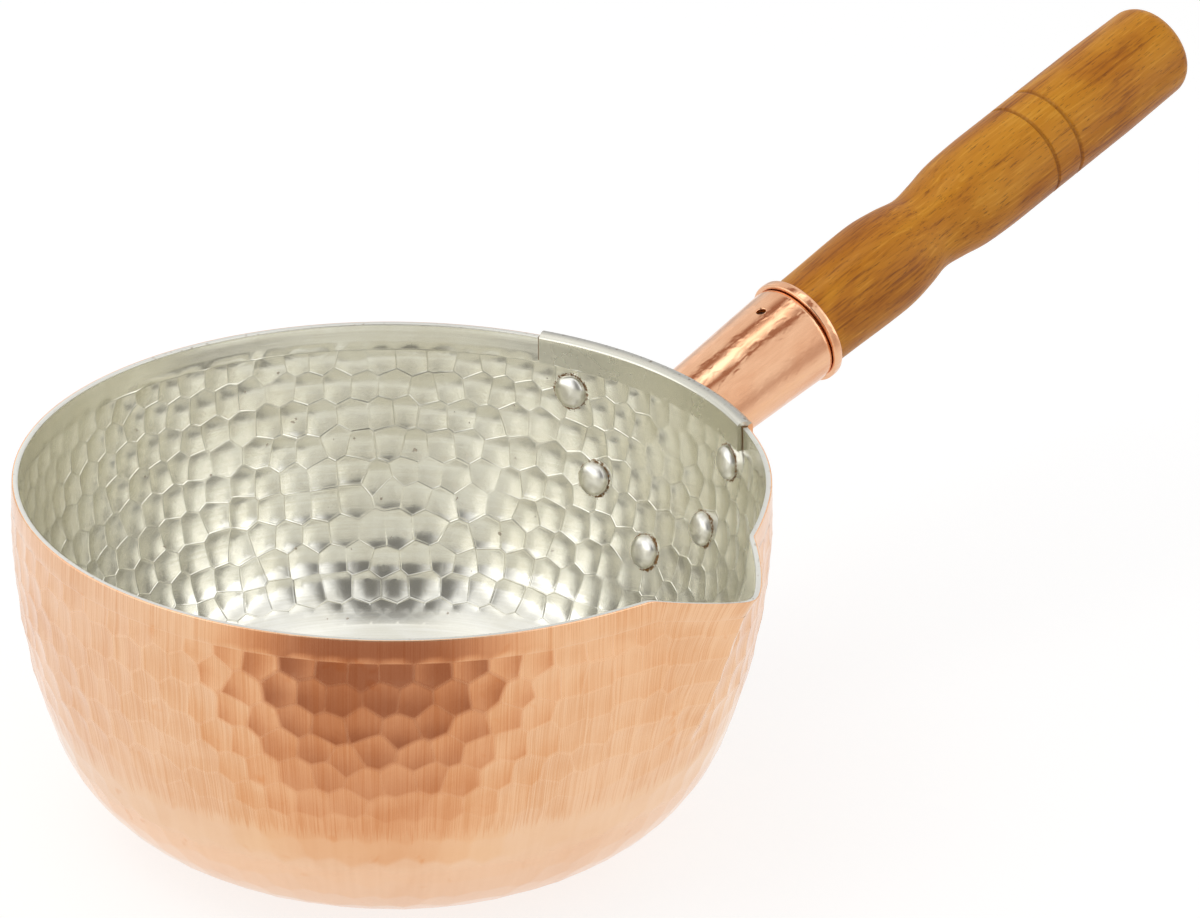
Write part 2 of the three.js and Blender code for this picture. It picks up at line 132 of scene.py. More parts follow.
@dataclass
class Surface:
    """A surface as arrays: its points, its faces, and named values that its points carry."""

    points: np.ndarray
    quads: np.ndarray
    triangles: np.ndarray = field(default_factory=lambda: np.empty((0, 3), int))
    values: dict[str, np.ndarray] = field(default_factory=dict)

    @classmethod
    def woven(cls, grid: np.ndarray, ends: Ends, values: dict[str, np.ndarray] | None = None) -> "Surface":
        """Joins a grid of points whose rows are closed loops.

        Neighbouring rows are joined by four-sided faces. Poles close each end row with a fan to its
        middle, a loop joins the last row to the first, and strips join the two halves of an end row.

        Args:
            grid: Points, as rows by columns by 3.
            ends: How the first and last rows are closed.
            values: Values on the points, each with one number to a row.

        Returns:
            The surface, with its faces pointing out.
        """
        rows, columns, _ = grid.shape
        index = np.arange(rows * columns).reshape(rows, columns)
        if ends is Ends.LOOP:
            index = np.vstack([index, index[:1]])
        beside = np.roll(index, -1, axis=1)
        quads = np.stack([index[:-1], beside[:-1], beside[1:], index[1:]], axis=-1).reshape(-1, 4)
        triangles = np.empty((0, 3), int)
        points = grid.reshape(-1, 3)
        carried = {name: np.repeat(value, columns) for name, value in (values or {}).items()}
        if ends is Ends.POLES:
            low = np.full(columns, rows * columns)
            fans = [np.stack([low, beside[0], index[0]], -1), np.stack([low + 1, index[-1], beside[-1]], -1)]
            triangles = np.concatenate(fans)
            points = np.concatenate([points, [grid[0].mean(0), grid[-1].mean(0)]])
            carried = {name: np.append(value, value[[0, -1]]) for name, value in carried.items()}
        if ends is Ends.STRIPS:
            half = columns // 2
            for loop in (index[0], index[-1][::-1]):
                far = loop[::-1]
                strip = np.stack([loop[:half - 1], far[:half - 1], far[1:half], loop[1:half]], -1)
                quads = np.concatenate([quads, strip])
        return cls(points, quads, triangles, carried).turned_out()

    def turned_out(self) -> "Surface":
        """Points the faces out, told by the sign of the volume that they enclose.

        Returns:
            The surface itself.
        """
        corners = np.concatenate([self.triangles, self.quads[:, :3], self.quads[:, [0, 2, 3]]])
        first, second, third = (self.points[corners[:, corner]] for corner in range(3))
        if np.einsum("ij,ij->", first, np.cross(second, third)) < 0:
            self.quads = self.quads[:, ::-1]
            self.triangles = self.triangles[:, ::-1]
        return self

    def mesh(self, name: str, sharp: float) -> bpy.types.Mesh:
        """Puts the arrays into a smooth-shaded mesh.

        Args:
            name: Name of the mesh.
            sharp: Edges that turn by more than this angle stay sharp.

        Returns:
            The mesh.
        """
        made = bpy.data.meshes.new(name)
        made.vertices.add(len(self.points))
        made.vertices.foreach_set("co", self.points.astype(np.float32).ravel())
        corners = np.concatenate([self.quads.ravel(), self.triangles.ravel()]).astype(np.int32)
        made.loops.add(len(corners))
        made.loops.foreach_set("vertex_index", corners)
        split = 4 * len(self.quads)
        starts = np.concatenate([np.arange(0, split, 4), np.arange(split, len(corners), 3)])
        made.polygons.add(len(starts))
        made.polygons.foreach_set("loop_start", starts.astype(np.int32))
        made.update(calc_edges=True)
        made.shade_smooth()
        made.set_sharp_from_angle(angle=sharp)
        for label, value in self.values.items():
            made.attributes.new(label, "FLOAT", "POINT").data.foreach_set("value", value.astype(np.float32))
        return made


def add_piece(surface: Surface, name: str, material: bpy.types.Material, node: str,
              sharp: float = 40 * DEGREE) -> bpy.types.Object:
    """Makes an object of a surface, dresses it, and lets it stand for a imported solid.

    Args:
        surface: The shape.
        name: Name of the piece.
        material: Its finish.
        node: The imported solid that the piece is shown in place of.
        sharp: Edges that turn by more than this angle stay sharp.

    Returns:
        The object.
    """
    piece = placed(name, surface.mesh(name, sharp))
    piece.data.materials.append(material)
    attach(piece, BODY)
    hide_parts(node)
    LOG.info("%s: %d faces", name, len(piece.data.polygons))
    return piece


class Wire:
    """A shader value that takes part in Python arithmetic; each operation adds one Math node."""

    def __init__(self, paint: "Paint", socket: bpy.types.NodeSocket) -> None:
        """Wraps a socket of a node tree."""
        self.paint = paint
        self.socket = socket

    def __add__(self, other: "Wire | float") -> "Wire":
        """Sum."""
        return self.paint.math("ADD", self, other)

    def __sub__(self, other: "Wire | float") -> "Wire":
        """Difference."""
        return self.paint.math("SUBTRACT", self, other)

    def __rsub__(self, other: float) -> "Wire":
        """Difference from a number."""
        return self.paint.math("SUBTRACT", other, self)

    def __mul__(self, other: "Wire | float") -> "Wire":
        """Product."""
        return self.paint.math("MULTIPLY", self, other)

    __radd__ = __add__
    __rmul__ = __mul__

    def largest(self, other: "Wire | float") -> "Wire":
        """The larger of two values."""
        return self.paint.math("MAXIMUM", self, other)

    def rise(self, low: float, high: float) -> "Wire":
        """An S-shaped rise from 0 to 1.

        Args:
            low: Value at which it starts.
            high: Value at which it ends; if this is the smaller one, the result falls from 1 to 0.

        Returns:
            The rise.
        """
        if low > high:
            return 1.0 - self.rise(high, low)
        settings = {"interpolation_type": "SMOOTHSTEP"}
        return self.paint.wire("ShaderNodeMapRange", settings, {0: self, 1: low, 2: high})


class Paint:
    """Builds the nodes of one material or of the world."""

    def __init__(self, owner: bpy.types.Material | bpy.types.World) -> None:
        """Starts an owner's node tree afresh."""
        owner.use_nodes = True
        self.owner = owner
        self.tree = owner.node_tree
        self.tree.nodes.clear()

    @classmethod
    def material(cls, name: str) -> "Paint":
        """A new material of that name."""
        return cls(bpy.data.materials.new(name))

    def node(self, kind: str, settings: dict | None = None, sockets: dict | None = None) -> bpy.types.Node:
        """Adds a node: its settings first, then values or links for its sockets.

        Args:
            kind: Type of the node.
            settings: Its properties by name.
            sockets: Numbers, colours or wires by the input's name or number.

        Returns:
            The node.
        """
        made = self.tree.nodes.new(kind)
        for name, value in (settings or {}).items():
            setattr(made, name, value)
        for key, value in (sockets or {}).items():
            if isinstance(value, Wire):
                self.tree.links.new(value.socket, made.inputs[key])
            else:
                made.inputs[key].default_value = value
        return made

    def wire(self, kind: str, settings: dict | None = None, sockets: dict | None = None,
             output: int | str = 0) -> Wire:
        """One output of a new node, as a wire."""
        return Wire(self, self.node(kind, settings, sockets).outputs[output])

    def math(self, operation: str, first: Wire | float, second: Wire | float) -> Wire:
        """A Math node on two values."""
        return self.wire("ShaderNodeMath", {"operation": operation}, {0: first, 1: second})

    def place(self) -> Wire:
        """Object coordinates."""
        return self.wire("ShaderNodeTexCoord", output="Object")

    def value(self, name: str) -> Wire:
        """A value that the piece's own points carry."""
        return self.wire("ShaderNodeAttribute", {"attribute_name": name}, output="Fac")

    def parts(self, vector: Wire) -> tuple[Wire, Wire, Wire]:
        """The three parts of a vector."""
        split = self.node("ShaderNodeSeparateXYZ", sockets={0: vector})
        return tuple(Wire(self, output) for output in split.outputs)

    def vector(self, first: Wire | float, second: Wire | float, third: Wire | float) -> Wire:
        """A vector of three values."""
        return self.wire("ShaderNodeCombineXYZ", sockets={0: first, 1: second, 2: third})

    def noise(self, vector: Wire, scale: float, detail: float, twist: float) -> Wire:
        """Soft noise from 0 to 1 with about scale lumps to a unit."""
        sockets = {"Vector": vector, "Scale": scale, "Detail": detail, "Distortion": twist}
        return self.wire("ShaderNodeTexNoise", sockets=sockets)

    def lumps(self, scale: float, detail: float = 2.0, twist: float = 0.0) -> Wire:
        """Noise that is alike in all directions, with about scale lumps to a metre."""
        return self.noise(self.place(), scale, detail, twist)

    def grain(self, parts: tuple[Wire, Wire, Wire], rates: Triple, detail: float = 2.0,
              twist: float = 0.0) -> Wire:
        """Noise over three coordinates, each with its own number of lumps to a unit."""
        stretched = self.vector(*(part * rate for part, rate in zip(parts, rates)))
        return self.noise(stretched, 1.0, detail, twist)

    def blend(self, share: Wire, first: Wire | Colour, second: Wire | Colour) -> Wire:
        """A colour between two others."""
        return self.wire("ShaderNodeMix", {"data_type": "RGBA"}, {0: share, 6: first, 7: second}, output=2)

    def bump(self, height: Wire, distance: float, strength: float = 1.0, under: Wire | None = None) -> Wire:
        """Normals of a relief.

        Args:
            height: Heights from 0 to 1.
            distance: The full height in metres.
            strength: Share of the relief that is kept.
            under: Normals of a relief that this one lies on.

        Returns:
            The normals.
        """
        sockets = {"Strength": strength, "Distance": distance, "Height": height}
        if under is not None:
            sockets["Normal"] = under
        return self.wire("ShaderNodeBump", sockets=sockets)

    def meridian(self) -> tuple[Wire, Wire]:
        """Which way a point lies from the bowl's axis.

        Returns:
            The two parts of the level unit vector from the axis to the point.
        """
        across, along, _ = self.parts(self.place())
        flat = self.vector(across, along, 0.0)
        unit = self.wire("ShaderNodeVectorMath", {"operation": "NORMALIZE"}, {0: flat})
        return self.parts(unit)[:2]

    def seen(self) -> Wire:
        """Which rays look at the surroundings.

        Returns:
            1 for rays from the camera, from mirrors and through glass, and 0 for light on matt surfaces.
        """
        ray = self.node("ShaderNodeLightPath").outputs
        camera, glossy, clear = (Wire(self, ray[f"Is {kind} Ray"])
                                 for kind in ("Camera", "Glossy", "Transmission"))
        return camera.largest(glossy).largest(clear)

    def either(self, share: Wire, first: Wire, second: Wire) -> Wire:
        """A shader between two others."""
        return self.wire("ShaderNodeMixShader", sockets={0: share, 1: first, 2: second})

    def finished(self, shader: Wire) -> bpy.types.Material | bpy.types.World:
        """Ends the tree with a shader.

        Args:
            shader: What the surface shows.

        Returns:
            The material or the world.
        """
        kind = "World" if isinstance(self.owner, bpy.types.World) else "Material"
        self.node(f"ShaderNodeOutput{kind}", sockets={"Surface": shader})
        return self.owner

    def principled(self, sockets: dict) -> bpy.types.Material:
        """Ends a material with one Principled surface."""
        return self.finished(self.wire("ShaderNodeBsdfPrincipled", sockets=sockets))


@dataclass(frozen=True)
class HammeredCopper:
    """Copper sheet, hammered, then brushed along the meridians of the wall with abrasive cloth."""

    light: Colour = tint(239, 197, 163)
    deep: Colour = tint(224, 171, 130)
    bare: Colour = tint(239, 201, 168)
    stain: Colour = tint(222, 150, 88)
    streak_width: float = 0.26 * MM
    streak_length: float = 30 * MM
    brushed_from: float = 103 * MM
    brushed_rise: float = 3 * MM
    ragged: float = 7 * MM

    def material(self, radius: float) -> bpy.types.Material:
        """Builds the finish.

        Args:
            radius: Radius of the bowl, which turns streak widths into angles.

        Returns:
            The material.
        """
        paint = Paint.material("hammered_copper")
        arc, ridge = paint.value("arc"), paint.value("ridge")
        wall = (*paint.meridian(), arc)
        fine, slow = radius / self.streak_width, 1 / self.streak_length
        streak = paint.grain(wall, (fine, fine, slow), 3.0)
        broad = paint.grain(wall, (fine / 7, fine / 7, slow))
        edge = paint.grain(wall, (fine / 2, fine / 2, 0.0))
        level = arc + (edge - 0.5) * (2 * self.ragged)
        brushed = level.rise(self.brushed_from, self.brushed_from + self.brushed_rise)
        cloud = paint.lumps(55.0, 4.0, 0.6)
        spots = paint.lumps(150.0, 2.0, 0.3).rise(0.66, 0.78)
        lines = (streak - 0.5) * brushed
        worn = (ridge * brushed).rise(0.1, 0.9)
        shade = (cloud * 0.9 + lines * 1.3 + (broad - 0.5) * 0.5 - worn * 0.14).rise(0.15, 0.85)
        colour = paint.blend(shade, self.light, self.deep)
        colour = paint.blend((1.0 - brushed) * (1.0 - cloud * 0.6), colour, self.bare)
        colour = paint.blend(spots * 0.35, colour, self.stain)
        rough = 0.12 + cloud * 0.06 + lines * 0.2 + brushed * 0.03 + worn * 0.1
        relief = paint.bump(streak * brushed, 0.02 * MM, 0.4)
        relief = paint.bump(paint.lumps(900.0, 3.0), 0.02 * MM, 0.25, relief)
        return paint.principled({
            "Base Color": colour, "Metallic": 1.0, "Roughness": rough, "Normal": relief})


@dataclass(frozen=True)
class TinLining:
    """Wiped tin over copper: warm grey, brushed round the bowl, with burnt flux round the rivets, painted
    shade along the ridges between the hammer marks and a painted shadow line at the bracket's lip.
    """

    light: Colour = tint(238, 237, 229)
    dull: Colour = tint(225, 222, 208)
    cut: Colour = tint(222, 221, 214)
    # crease: painted shade, a darker grey laid along the ridges between the hammer marks for the shadow
    # lines beside them
    crease: Colour = tint(172, 168, 148)
    flux: Colour = tint(138, 102, 56)
    brush_width: float = 0.5 * MM
    brush_length: float = 25 * MM

    def painted_lip_shade(self, paint: Paint, form: "BowlForm", bracket: "Bracket") -> Wire:
        """Painted shade at the bracket's lip: a dark shadow line in the gap beside its ends and a faint one
        along its lower edge.

        Args:
            paint: The finish's nodes.
            form: The bowl.
            bracket: The bracket.

        Returns:
            How much painted shade there is.
        """
        across, along, height = paint.parts(paint.place())
        turn = paint.math("ABSOLUTE", paint.math("ARCTAN2", along, across), 0.0)
        beside = (turn - bracket.half_angle) * form.rim_radius
        below = form.rim_height - bracket.lip_depth - height
        ends = beside.rise(0.95 * MM, 0.6 * MM) * below.rise(0.3 * MM, 0.0) * beside.rise(-1 * MM, 0.0)
        return (ends * 1.3).largest(beside.largest(below).rise(0.35 * MM, 0.1 * MM) * 0.4)

    def material(self, form: "BowlForm", bracket: "Bracket") -> bpy.types.Material:
        """Builds the finish.

        Args:
            form: The bowl, whose radius turns brush lengths into angles.
            bracket: The bracket, beside whose lip a shadow line is painted.

        Returns:
            The material.
        """
        paint = Paint.material("tin_lining")
        arc, ridge, near = (paint.value(name) for name in ("arc", "ridge", "rivet_distance"))
        slow = form.rim_radius / self.brush_length
        brush = paint.grain((*paint.meridian(), arc), (slow, slow, 1 / self.brush_width), 3.0)
        cloud = paint.lumps(70.0, 4.0, 0.5)
        shade = (cloud * 0.8 + (brush - 0.5) * 0.6).rise(0.1, 0.8)
        colour = paint.blend(shade, self.light, self.dull)
        # Painted shade: the crease colour darkens the ridges between the hammer marks like the shadow lines
        # beside them.
        colour = paint.blend((ridge + (cloud - 0.5) * 0.8).rise(0.62, 1.0) * 0.16, colour, self.crease)
        edge = arc.rise(form.rim_arc - 0.7 * MM, form.rim_arc - 0.25 * MM)
        nicks = paint.lumps(700.0).rise(0.62, 0.72) * edge
        colour = paint.blend(edge, colour, self.cut)
        grit, patch = paint.lumps(1900.0), paint.lumps(240.0)
        dirt = near.rise(5.6 * MM, 4.7 * MM) * 0.55 + (grit - 0.5) * 1.6 + (patch - 0.5) * 1.2
        flux_and_shade = dirt.rise(0.38, 0.6) * near.rise(6.3 * MM, 5.3 * MM)
        specks = paint.lumps(520.0, 1.0).rise(0.765, 0.81)
        # Painted shade: a dark line in the gap beside the lip's ends and a faint shadow line along its lower
        # edge.
        line = self.painted_lip_shade(paint, form, bracket) * (0.3 + grit * 0.9)
        flux_and_shade = flux_and_shade.largest(specks * 0.45).largest(line).largest(nicks * 0.4)
        # The flux colour paints the real burnt flux, specks and nicks, and also the painted shade at the
        # lip.
        colour = paint.blend(flux_and_shade, colour, self.flux)
        rough = 0.13 + cloud * 0.07 + (brush - 0.5) * 0.1 + flux_and_shade * 0.4 + edge * 0.12
        crest = ridge.rise(0.6, 1.0) * (cloud.rise(0.3, 0.7) * 0.5 + 0.5)
        relief = paint.bump(crest, 0.08 * MM, 1.0, paint.bump(brush, 0.012 * MM, 0.35))
        return paint.principled({
            "Base Color": colour, "Metallic": 0.9 - flux_and_shade * 0.75, "Roughness": rough, "Normal": relief})


@dataclass(frozen=True)
class BracketCoat:
    """Copper sheet whose lip and fold are tinned; the tin thins out at the outer edge of the fold."""

    tin: Colour = tint(216, 214, 202)
    dull: Colour = tint(178, 177, 170)
    copper: Colour = tint(230, 178, 140)
    deep: Colour = tint(212, 150, 110)
    flux: Colour = tint(96, 76, 50)

    def material(self) -> bpy.types.Material:
        """Builds the finish from the tin value that the points carry, 1 where the tin is whole.

        Returns:
            The material.
        """
        paint = Paint.material("bracket_coat")
        grit, cloud = paint.lumps(900.0, 3.0), paint.lumps(120.0, 3.0)
        coat = (paint.value("tin") + (cloud - 0.5) * 0.3).rise(0.35, 0.65)
        fold = paint.value("fold")
        bare = paint.blend(cloud, self.copper, self.deep)
        silver = paint.blend((cloud * 0.3 + fold).rise(0.2, 1.0), self.tin, self.dull)
        colour = paint.blend(coat, bare, silver)
        specks = (grit + fold * 0.1).rise(0.68, 0.76) * coat * (0.3 + fold * 0.7)
        colour = paint.blend(specks * 0.7, colour, self.flux)
        rough = 0.2 + cloud * 0.12 + specks * 0.3 + fold * 0.1
        relief = paint.bump(grit, 0.02 * MM, 0.35)
        return paint.principled({
            "Base Color": colour, "Metallic": 1.0 - specks * 0.6, "Roughness": rough, "Normal": relief})


@dataclass(frozen=True)
class PolishedCopper:
    """Copper tube, polished along its length, with faint draw lines and warm clouds."""

    light: Colour = tint(239, 190, 153)
    deep: Colour = tint(223, 165, 126)

    def material(self, line: "HandleLine") -> bpy.types.Material:
        """Builds the finish in the handle's own coordinates, so that its lines run along the tube.

        Args:
            line: The handle's axis.

        Returns:
            The material.
        """
        paint = Paint.material("polished_copper")
        tube = line.coordinates(paint)
        draw = paint.grain(tube, (40.0, 1500.0, 1500.0))
        cloud = paint.grain(tube, (60.0, 120.0, 120.0), 4.0, 0.5)
        colour = paint.blend((cloud + (draw - 0.5) * 0.2).rise(0.25, 0.85), self.light, self.deep)
        rough = 0.1 + cloud * 0.1 + (draw - 0.5) * 0.03
        wave = paint.grain(tube, (130.0, 260.0, 260.0), 1.0)
        dents = paint.grain(tube, (330.0, 500.0, 500.0), 1.0).rise(0.45, 0.8)
        relief = paint.bump(wave + dents * 0.3, 0.16 * MM)
        relief = paint.bump(draw, 0.01 * MM, 0.3, relief)
        return paint.principled({
            "Base Color": colour, "Metallic": 1.0, "Roughness": rough, "Normal": relief})


@dataclass(frozen=True)
class RivetTin:
    """Hand-tinned rivet heads: bright domes with soft clouds and brown grains at the foot."""

    light: Colour = tint(240, 239, 233)
    dull: Colour = tint(216, 213, 202)
    flux: Colour = tint(146, 108, 58)

    def material(self) -> bpy.types.Material:
        """Builds the finish from the foot value that the points carry, 1 where a head meets the sheet.

        Returns:
            The material.
        """
        paint = Paint.material("rivet_tin")
        cloud, grit = paint.lumps(260.0, 4.0, 0.8), paint.lumps(1600.0)
        grime = (paint.value("foot") + (grit - 0.5) * 0.9).rise(0.9, 1.06)
        colour = paint.blend(cloud.rise(0.3, 0.75), self.light, self.dull)
        colour = paint.blend(grime * 0.85, colour, self.flux)
        rough = 0.25 + cloud * 0.12 + grime * 0.3
        relief = paint.bump(cloud, 0.03 * MM, 0.25)
        return paint.principled({
            "Base Color": colour, "Metallic": 1.0 - grime * 0.6, "Roughness": rough, "Normal": relief})


@dataclass(frozen=True)
class VarnishedWood:
    """Turned hardwood with short dark pores along the grain, under a clear amber varnish."""

    pale: Colour = tint(230, 164, 52)
    honey: Colour = tint(214, 141, 24)
    amber: Colour = tint(190, 114, 14)
    brown: Colour = tint(144, 78, 9)
    pore: Colour = tint(104, 54, 8)

    def material(self, line: "HandleLine") -> bpy.types.Material:
        """Builds the finish in the handle's own coordinates, with the grain along the axis.

        Args:
            line: The handle's axis.

        Returns:
            The material.
        """
        paint = Paint.material("varnished_wood")
        wood = line.coordinates(paint)
        figure = paint.grain(wood, (26.0, 75.0, 75.0), 3.0, 1.2)
        fibre = paint.grain(wood, (80.0, 1300.0, 1300.0), 3.0, 0.4)
        rings = paint.grain(wood, (9.0, 190.0, 60.0), 2.0, 0.8)
        pores = paint.grain(wood, (380.0, 3400.0, 3400.0), 1.0)
        broad = figure * 0.6 + rings * 0.4
        colour = paint.blend(broad.rise(0.36, 0.66), self.honey, self.amber)
        colour = paint.blend((fibre + (broad - 0.5) * 0.9).rise(0.5, 0.8) * 0.8, colour, self.brown)
        colour = paint.blend((fibre + (broad - 0.5) * 0.7).rise(0.46, 0.22) * 0.7, colour, self.pale)
        dark = (pores + (fibre - 0.5) * 0.35).rise(0.64, 0.72)
        colour = paint.blend((dark * 0.55).largest(paint.value("groove") * 0.45), colour, self.pore)
        rough = 0.42 + fibre * 0.12
        relief = paint.bump(figure, 0.12 * MM, 0.25, paint.bump(1.0 - dark, 0.04 * MM, 0.35))
        return paint.principled({
            "Base Color": colour, "Roughness": rough, "Normal": relief, "Coat Weight": 0.16,
            "Coat Roughness": 0.16, "Coat IOR": 1.5, "Specular IOR Level": 0.1})


@dataclass(frozen=True)
class DarkIron:
    """The nail's dark, slightly rusty iron."""

    iron: Colour = tint(52, 44, 38)
    rust: Colour = tint(104, 62, 36)

    def material(self) -> bpy.types.Material:
        """Builds the finish.

        Returns:
            The material.
        """
        paint = Paint.material("dark_iron")
        rusty = paint.lumps(1200.0, 4.0)
        colour = paint.blend(rusty.rise(0.4, 0.7), self.iron, self.rust)
        relief = paint.bump(rusty, 0.05 * MM, 0.6)
        return paint.principled({
            "Base Color": colour, "Metallic": 0.8, "Roughness": 0.4 + rusty * 0.3, "Normal": relief})


@dataclass(frozen=True)
class HandleLine:
    """The handle's axis: it crosses the bowl's axis and rises along +X."""

    root_height: float = 40.6 * MM
    rise: float = 18.88 * DEGREE

    @property
    def along(self) -> np.ndarray:
        """Unit vector along the axis, away from the bowl."""
        return np.array([math.cos(self.rise), 0, math.sin(self.rise)])

    @property
    def up(self) -> np.ndarray:
        """Unit vector square to the axis, upwards."""
        return np.array([-math.sin(self.rise), 0, math.cos(self.rise)])

    def points(self, radius: np.ndarray | float, station: np.ndarray | float,
               angle: np.ndarray | float) -> np.ndarray:
        """Points round the axis, by station from the bowl's axis and by angle from upwards to +Y."""
        root = np.array([0, 0, self.root_height])
        return round_axis(radius, station, angle, root, (self.up, SIDE, self.along))

    def turned(self, profile: np.ndarray, sides: int) -> np.ndarray:
        """A profile of radius and station pairs turned round the axis, as a grid of points."""
        return self.points(profile[:, :1], profile[:, 1:], full_turn(sides))

    def upright(self, profile: np.ndarray, station: float, sides: int) -> np.ndarray:
        """A profile of radius and height pairs turned round a line that leaves the axis upwards."""
        axes = (self.along, SIDE, self.up)
        return round_axis(profile[:, :1], profile[:, 1:], full_turn(sides), self.points(0, station, 0), axes)

    def coordinates(self, paint: Paint) -> tuple[Wire, Wire, Wire]:
        """Shader coordinates along the axis, across it and up from it."""
        turned = {"Location": (0, 0, self.root_height), "Rotation": (0, -self.rise, 0)}
        sockets = {"Vector": paint.place(), **turned}
        return paint.parts(paint.wire("ShaderNodeMapping", {"vector_type": "TEXTURE"}, sockets))


@dataclass(frozen=True)
class BowlForm:
    """Shape of the bowl: a flat base, a corner arc and a wall arc turned about Z, with a folded spout.

    Places on the profile are given by their arc, the distance along the outside from the middle of
    the base. The tilt is the slope there, 0 on the base and 90 degrees where the wall is upright.
    """

    rim_radius: float = 91.5 * MM
    sheet: float = 1.5 * MM
    corner_radius: float = 41.4 * MM
    corner_tilt: float = 70.8 * DEGREE
    wall_radius: float = 157.5 * MM
    rim_tilt: float = 93.8 * DEGREE
    spout_azimuth: float = -77.75 * DEGREE
    spout_half_angle: float = 13.5 * DEGREE
    spout_depth: float = 45.8 * MM
    spout_reach: float = 8.4 * MM
    spout_flare: float = 3.7 * MM
    spout_flare_power: float = 6.0
    spout_shoulder: float = 1.1 * MM
    spout_drop: float = 3.8 * MM
    spout_crease_power: float = 0.83
    spout_nose: float = 0.105
    spout_margin: float = 28.5 * DEGREE
    spout_pinch: float = 2.7 * DEGREE
    spout_release: float = 26 * MM

    @property
    def base_radius(self) -> float:
        """Radius of the flat base."""
        wall = self.wall_radius * (math.sin(self.rim_tilt) - math.sin(self.corner_tilt))
        return self.rim_radius - self.corner_radius * math.sin(self.corner_tilt) - wall

    @property
    def rim_height(self) -> float:
        """Height of the rim above the base."""
        wall = self.wall_radius * (math.cos(self.corner_tilt) - math.cos(self.rim_tilt))
        return self.corner_radius * (1 - math.cos(self.corner_tilt)) + wall

    @property
    def wall_arc(self) -> float:
        """Arc at which the corner runs into the wall."""
        return self.base_radius + self.corner_radius * self.corner_tilt

    @property
    def rim_arc(self) -> float:
        """Arc of the rim."""
        return self.wall_arc + self.wall_radius * (self.rim_tilt - self.corner_tilt)

    @property
    def wall_centre(self) -> tuple[float, float]:
        """Radius and height of the middle of the wall's arc."""
        return (self.rim_radius - self.wall_radius * math.sin(self.rim_tilt),
                self.rim_height + self.wall_radius * math.cos(self.rim_tilt))

    def arc_at_depth(self, depth: np.ndarray | float) -> np.ndarray:
        """Arc of the wall at a depth below the rim."""
        tilt = np.arccos(math.cos(self.rim_tilt) + depth / self.wall_radius)
        return self.wall_arc + self.wall_radius * (tilt - self.corner_tilt)

    def tilt(self, arc: np.ndarray) -> np.ndarray:
        """Slope of the profile: 0 on the base, then growing evenly along each of the two arcs.

        Args:
            arc: Distances along the outside of the profile.

        Returns:
            The slopes as angles.
        """
        corner = np.maximum(arc - self.base_radius, 0) / self.corner_radius
        wall = self.corner_tilt + (arc - self.wall_arc) / self.wall_radius
        return np.where(arc <= self.wall_arc, corner, wall)

    def section(self, arc: np.ndarray, offset: np.ndarray | float = 0.0) -> tuple[np.ndarray, np.ndarray]:
        """Radius and height of the profile, moved along its outward normal.

        A point is the centre of its arc plus the arc's radius and the offset along (sin, -cos) of the
        tilt. On the base the centre travels outwards with the arc.

        Args:
            arc: Distances along the outside of the profile.
            offset: Distances outwards from it.

        Returns:
            The radii and the heights.
        """
        tilt = self.tilt(arc)
        corner = arc <= self.wall_arc
        wall_centre, wall_level = self.wall_centre
        centre = np.where(corner, np.minimum(arc, self.base_radius), wall_centre)
        level = np.where(corner, self.corner_radius, wall_level)
        reach = np.where(corner, self.corner_radius, self.wall_radius) + offset
        return centre + reach * np.sin(tilt), level - reach * np.cos(tilt)

    def climb(self, arc: np.ndarray | float, back: bool = False) -> np.ndarray:
        """Height of a place in a flat chart of the wall, in which small shapes keep their angles.

        The chart's other coordinate is the azimuth, so a step up along the wall counts as the step
        over the local radius, and the climb is the sum of these steps.

        Args:
            arc: Arcs, or climbs if the arcs are wanted.
            back: Whether to turn climbs into arcs.

        Returns:
            The climbs, or the arcs.
        """
        table = np.linspace(20 * MM, self.rim_arc + 30 * MM, 4001)
        steps = 1 / self.section(table)[0]
        total = np.concatenate([[0], np.cumsum((steps[1:] + steps[:-1]) / 2 * np.diff(table))])
        return np.interp(arc, total, table) if back else np.interp(arc, table, total)

    def crease(self, share: np.ndarray, height: np.ndarray) -> np.ndarray:
        """Half angle of the spout, which grows as a power of the height and never closes at the foot.

        Args:
            share: Shares of the spout's height.
            height: Heights above the base.

        Returns:
            The half angles.
        """
        foot = self.rim_height - self.spout_depth
        below = np.clip((foot - height) / self.spout_release, 0, 1)
        pinch = self.spout_pinch + (self.spout_half_angle - self.spout_pinch) * below
        return np.maximum(self.spout_half_angle * share ** self.spout_crease_power, pinch)

    def fold(self, across: np.ndarray) -> np.ndarray:
        """The spout's fold: 1 on the keel, 0 on the creases, straight between but rounded at the keel.

        Args:
            across: Angles from the keel, as shares of the half angle.

        Returns:
            The fold.
        """
        full = math.hypot(1, self.spout_nose)
        near = np.hypot(np.minimum(np.abs(across), 1), self.spout_nose)
        return (full - near) / (full - self.spout_nose)

    def points(self, radius: np.ndarray, height: np.ndarray, place: np.ndarray) -> np.ndarray:
        """Carries profile points round the bowl and folds the spout out of them.

        The fold adds a lean that grows with the height on the spout, a flare at the rim and a drop
        of the tip; beside the creases the rim is drawn out a little.

        Args:
            radius: Radii of the profile points.
            height: Heights of the profile points.
            place: Azimuths of the points, from the spout's middle.

        Returns:
            The points, with their three coordinates last.
        """
        turn = place - TURN * np.round(place / TURN)
        share = np.clip((height - self.rim_height + self.spout_depth) / self.spout_depth, 0, 1)
        half = self.crease(share, height)
        beyond = np.clip((np.abs(turn) - half) / (self.spout_margin - half), 0, 1)
        fold = self.fold(turn / half)
        keel = self.spout_reach * share + self.spout_flare * share ** self.spout_flare_power
        reach = radius + self.spout_shoulder * share * (1 - beyond) ** 2 + fold * keel
        level = height - fold * self.spout_drop * share
        return round_axis(reach, level, self.spout_azimuth + turn, np.zeros(3), np.eye(3))


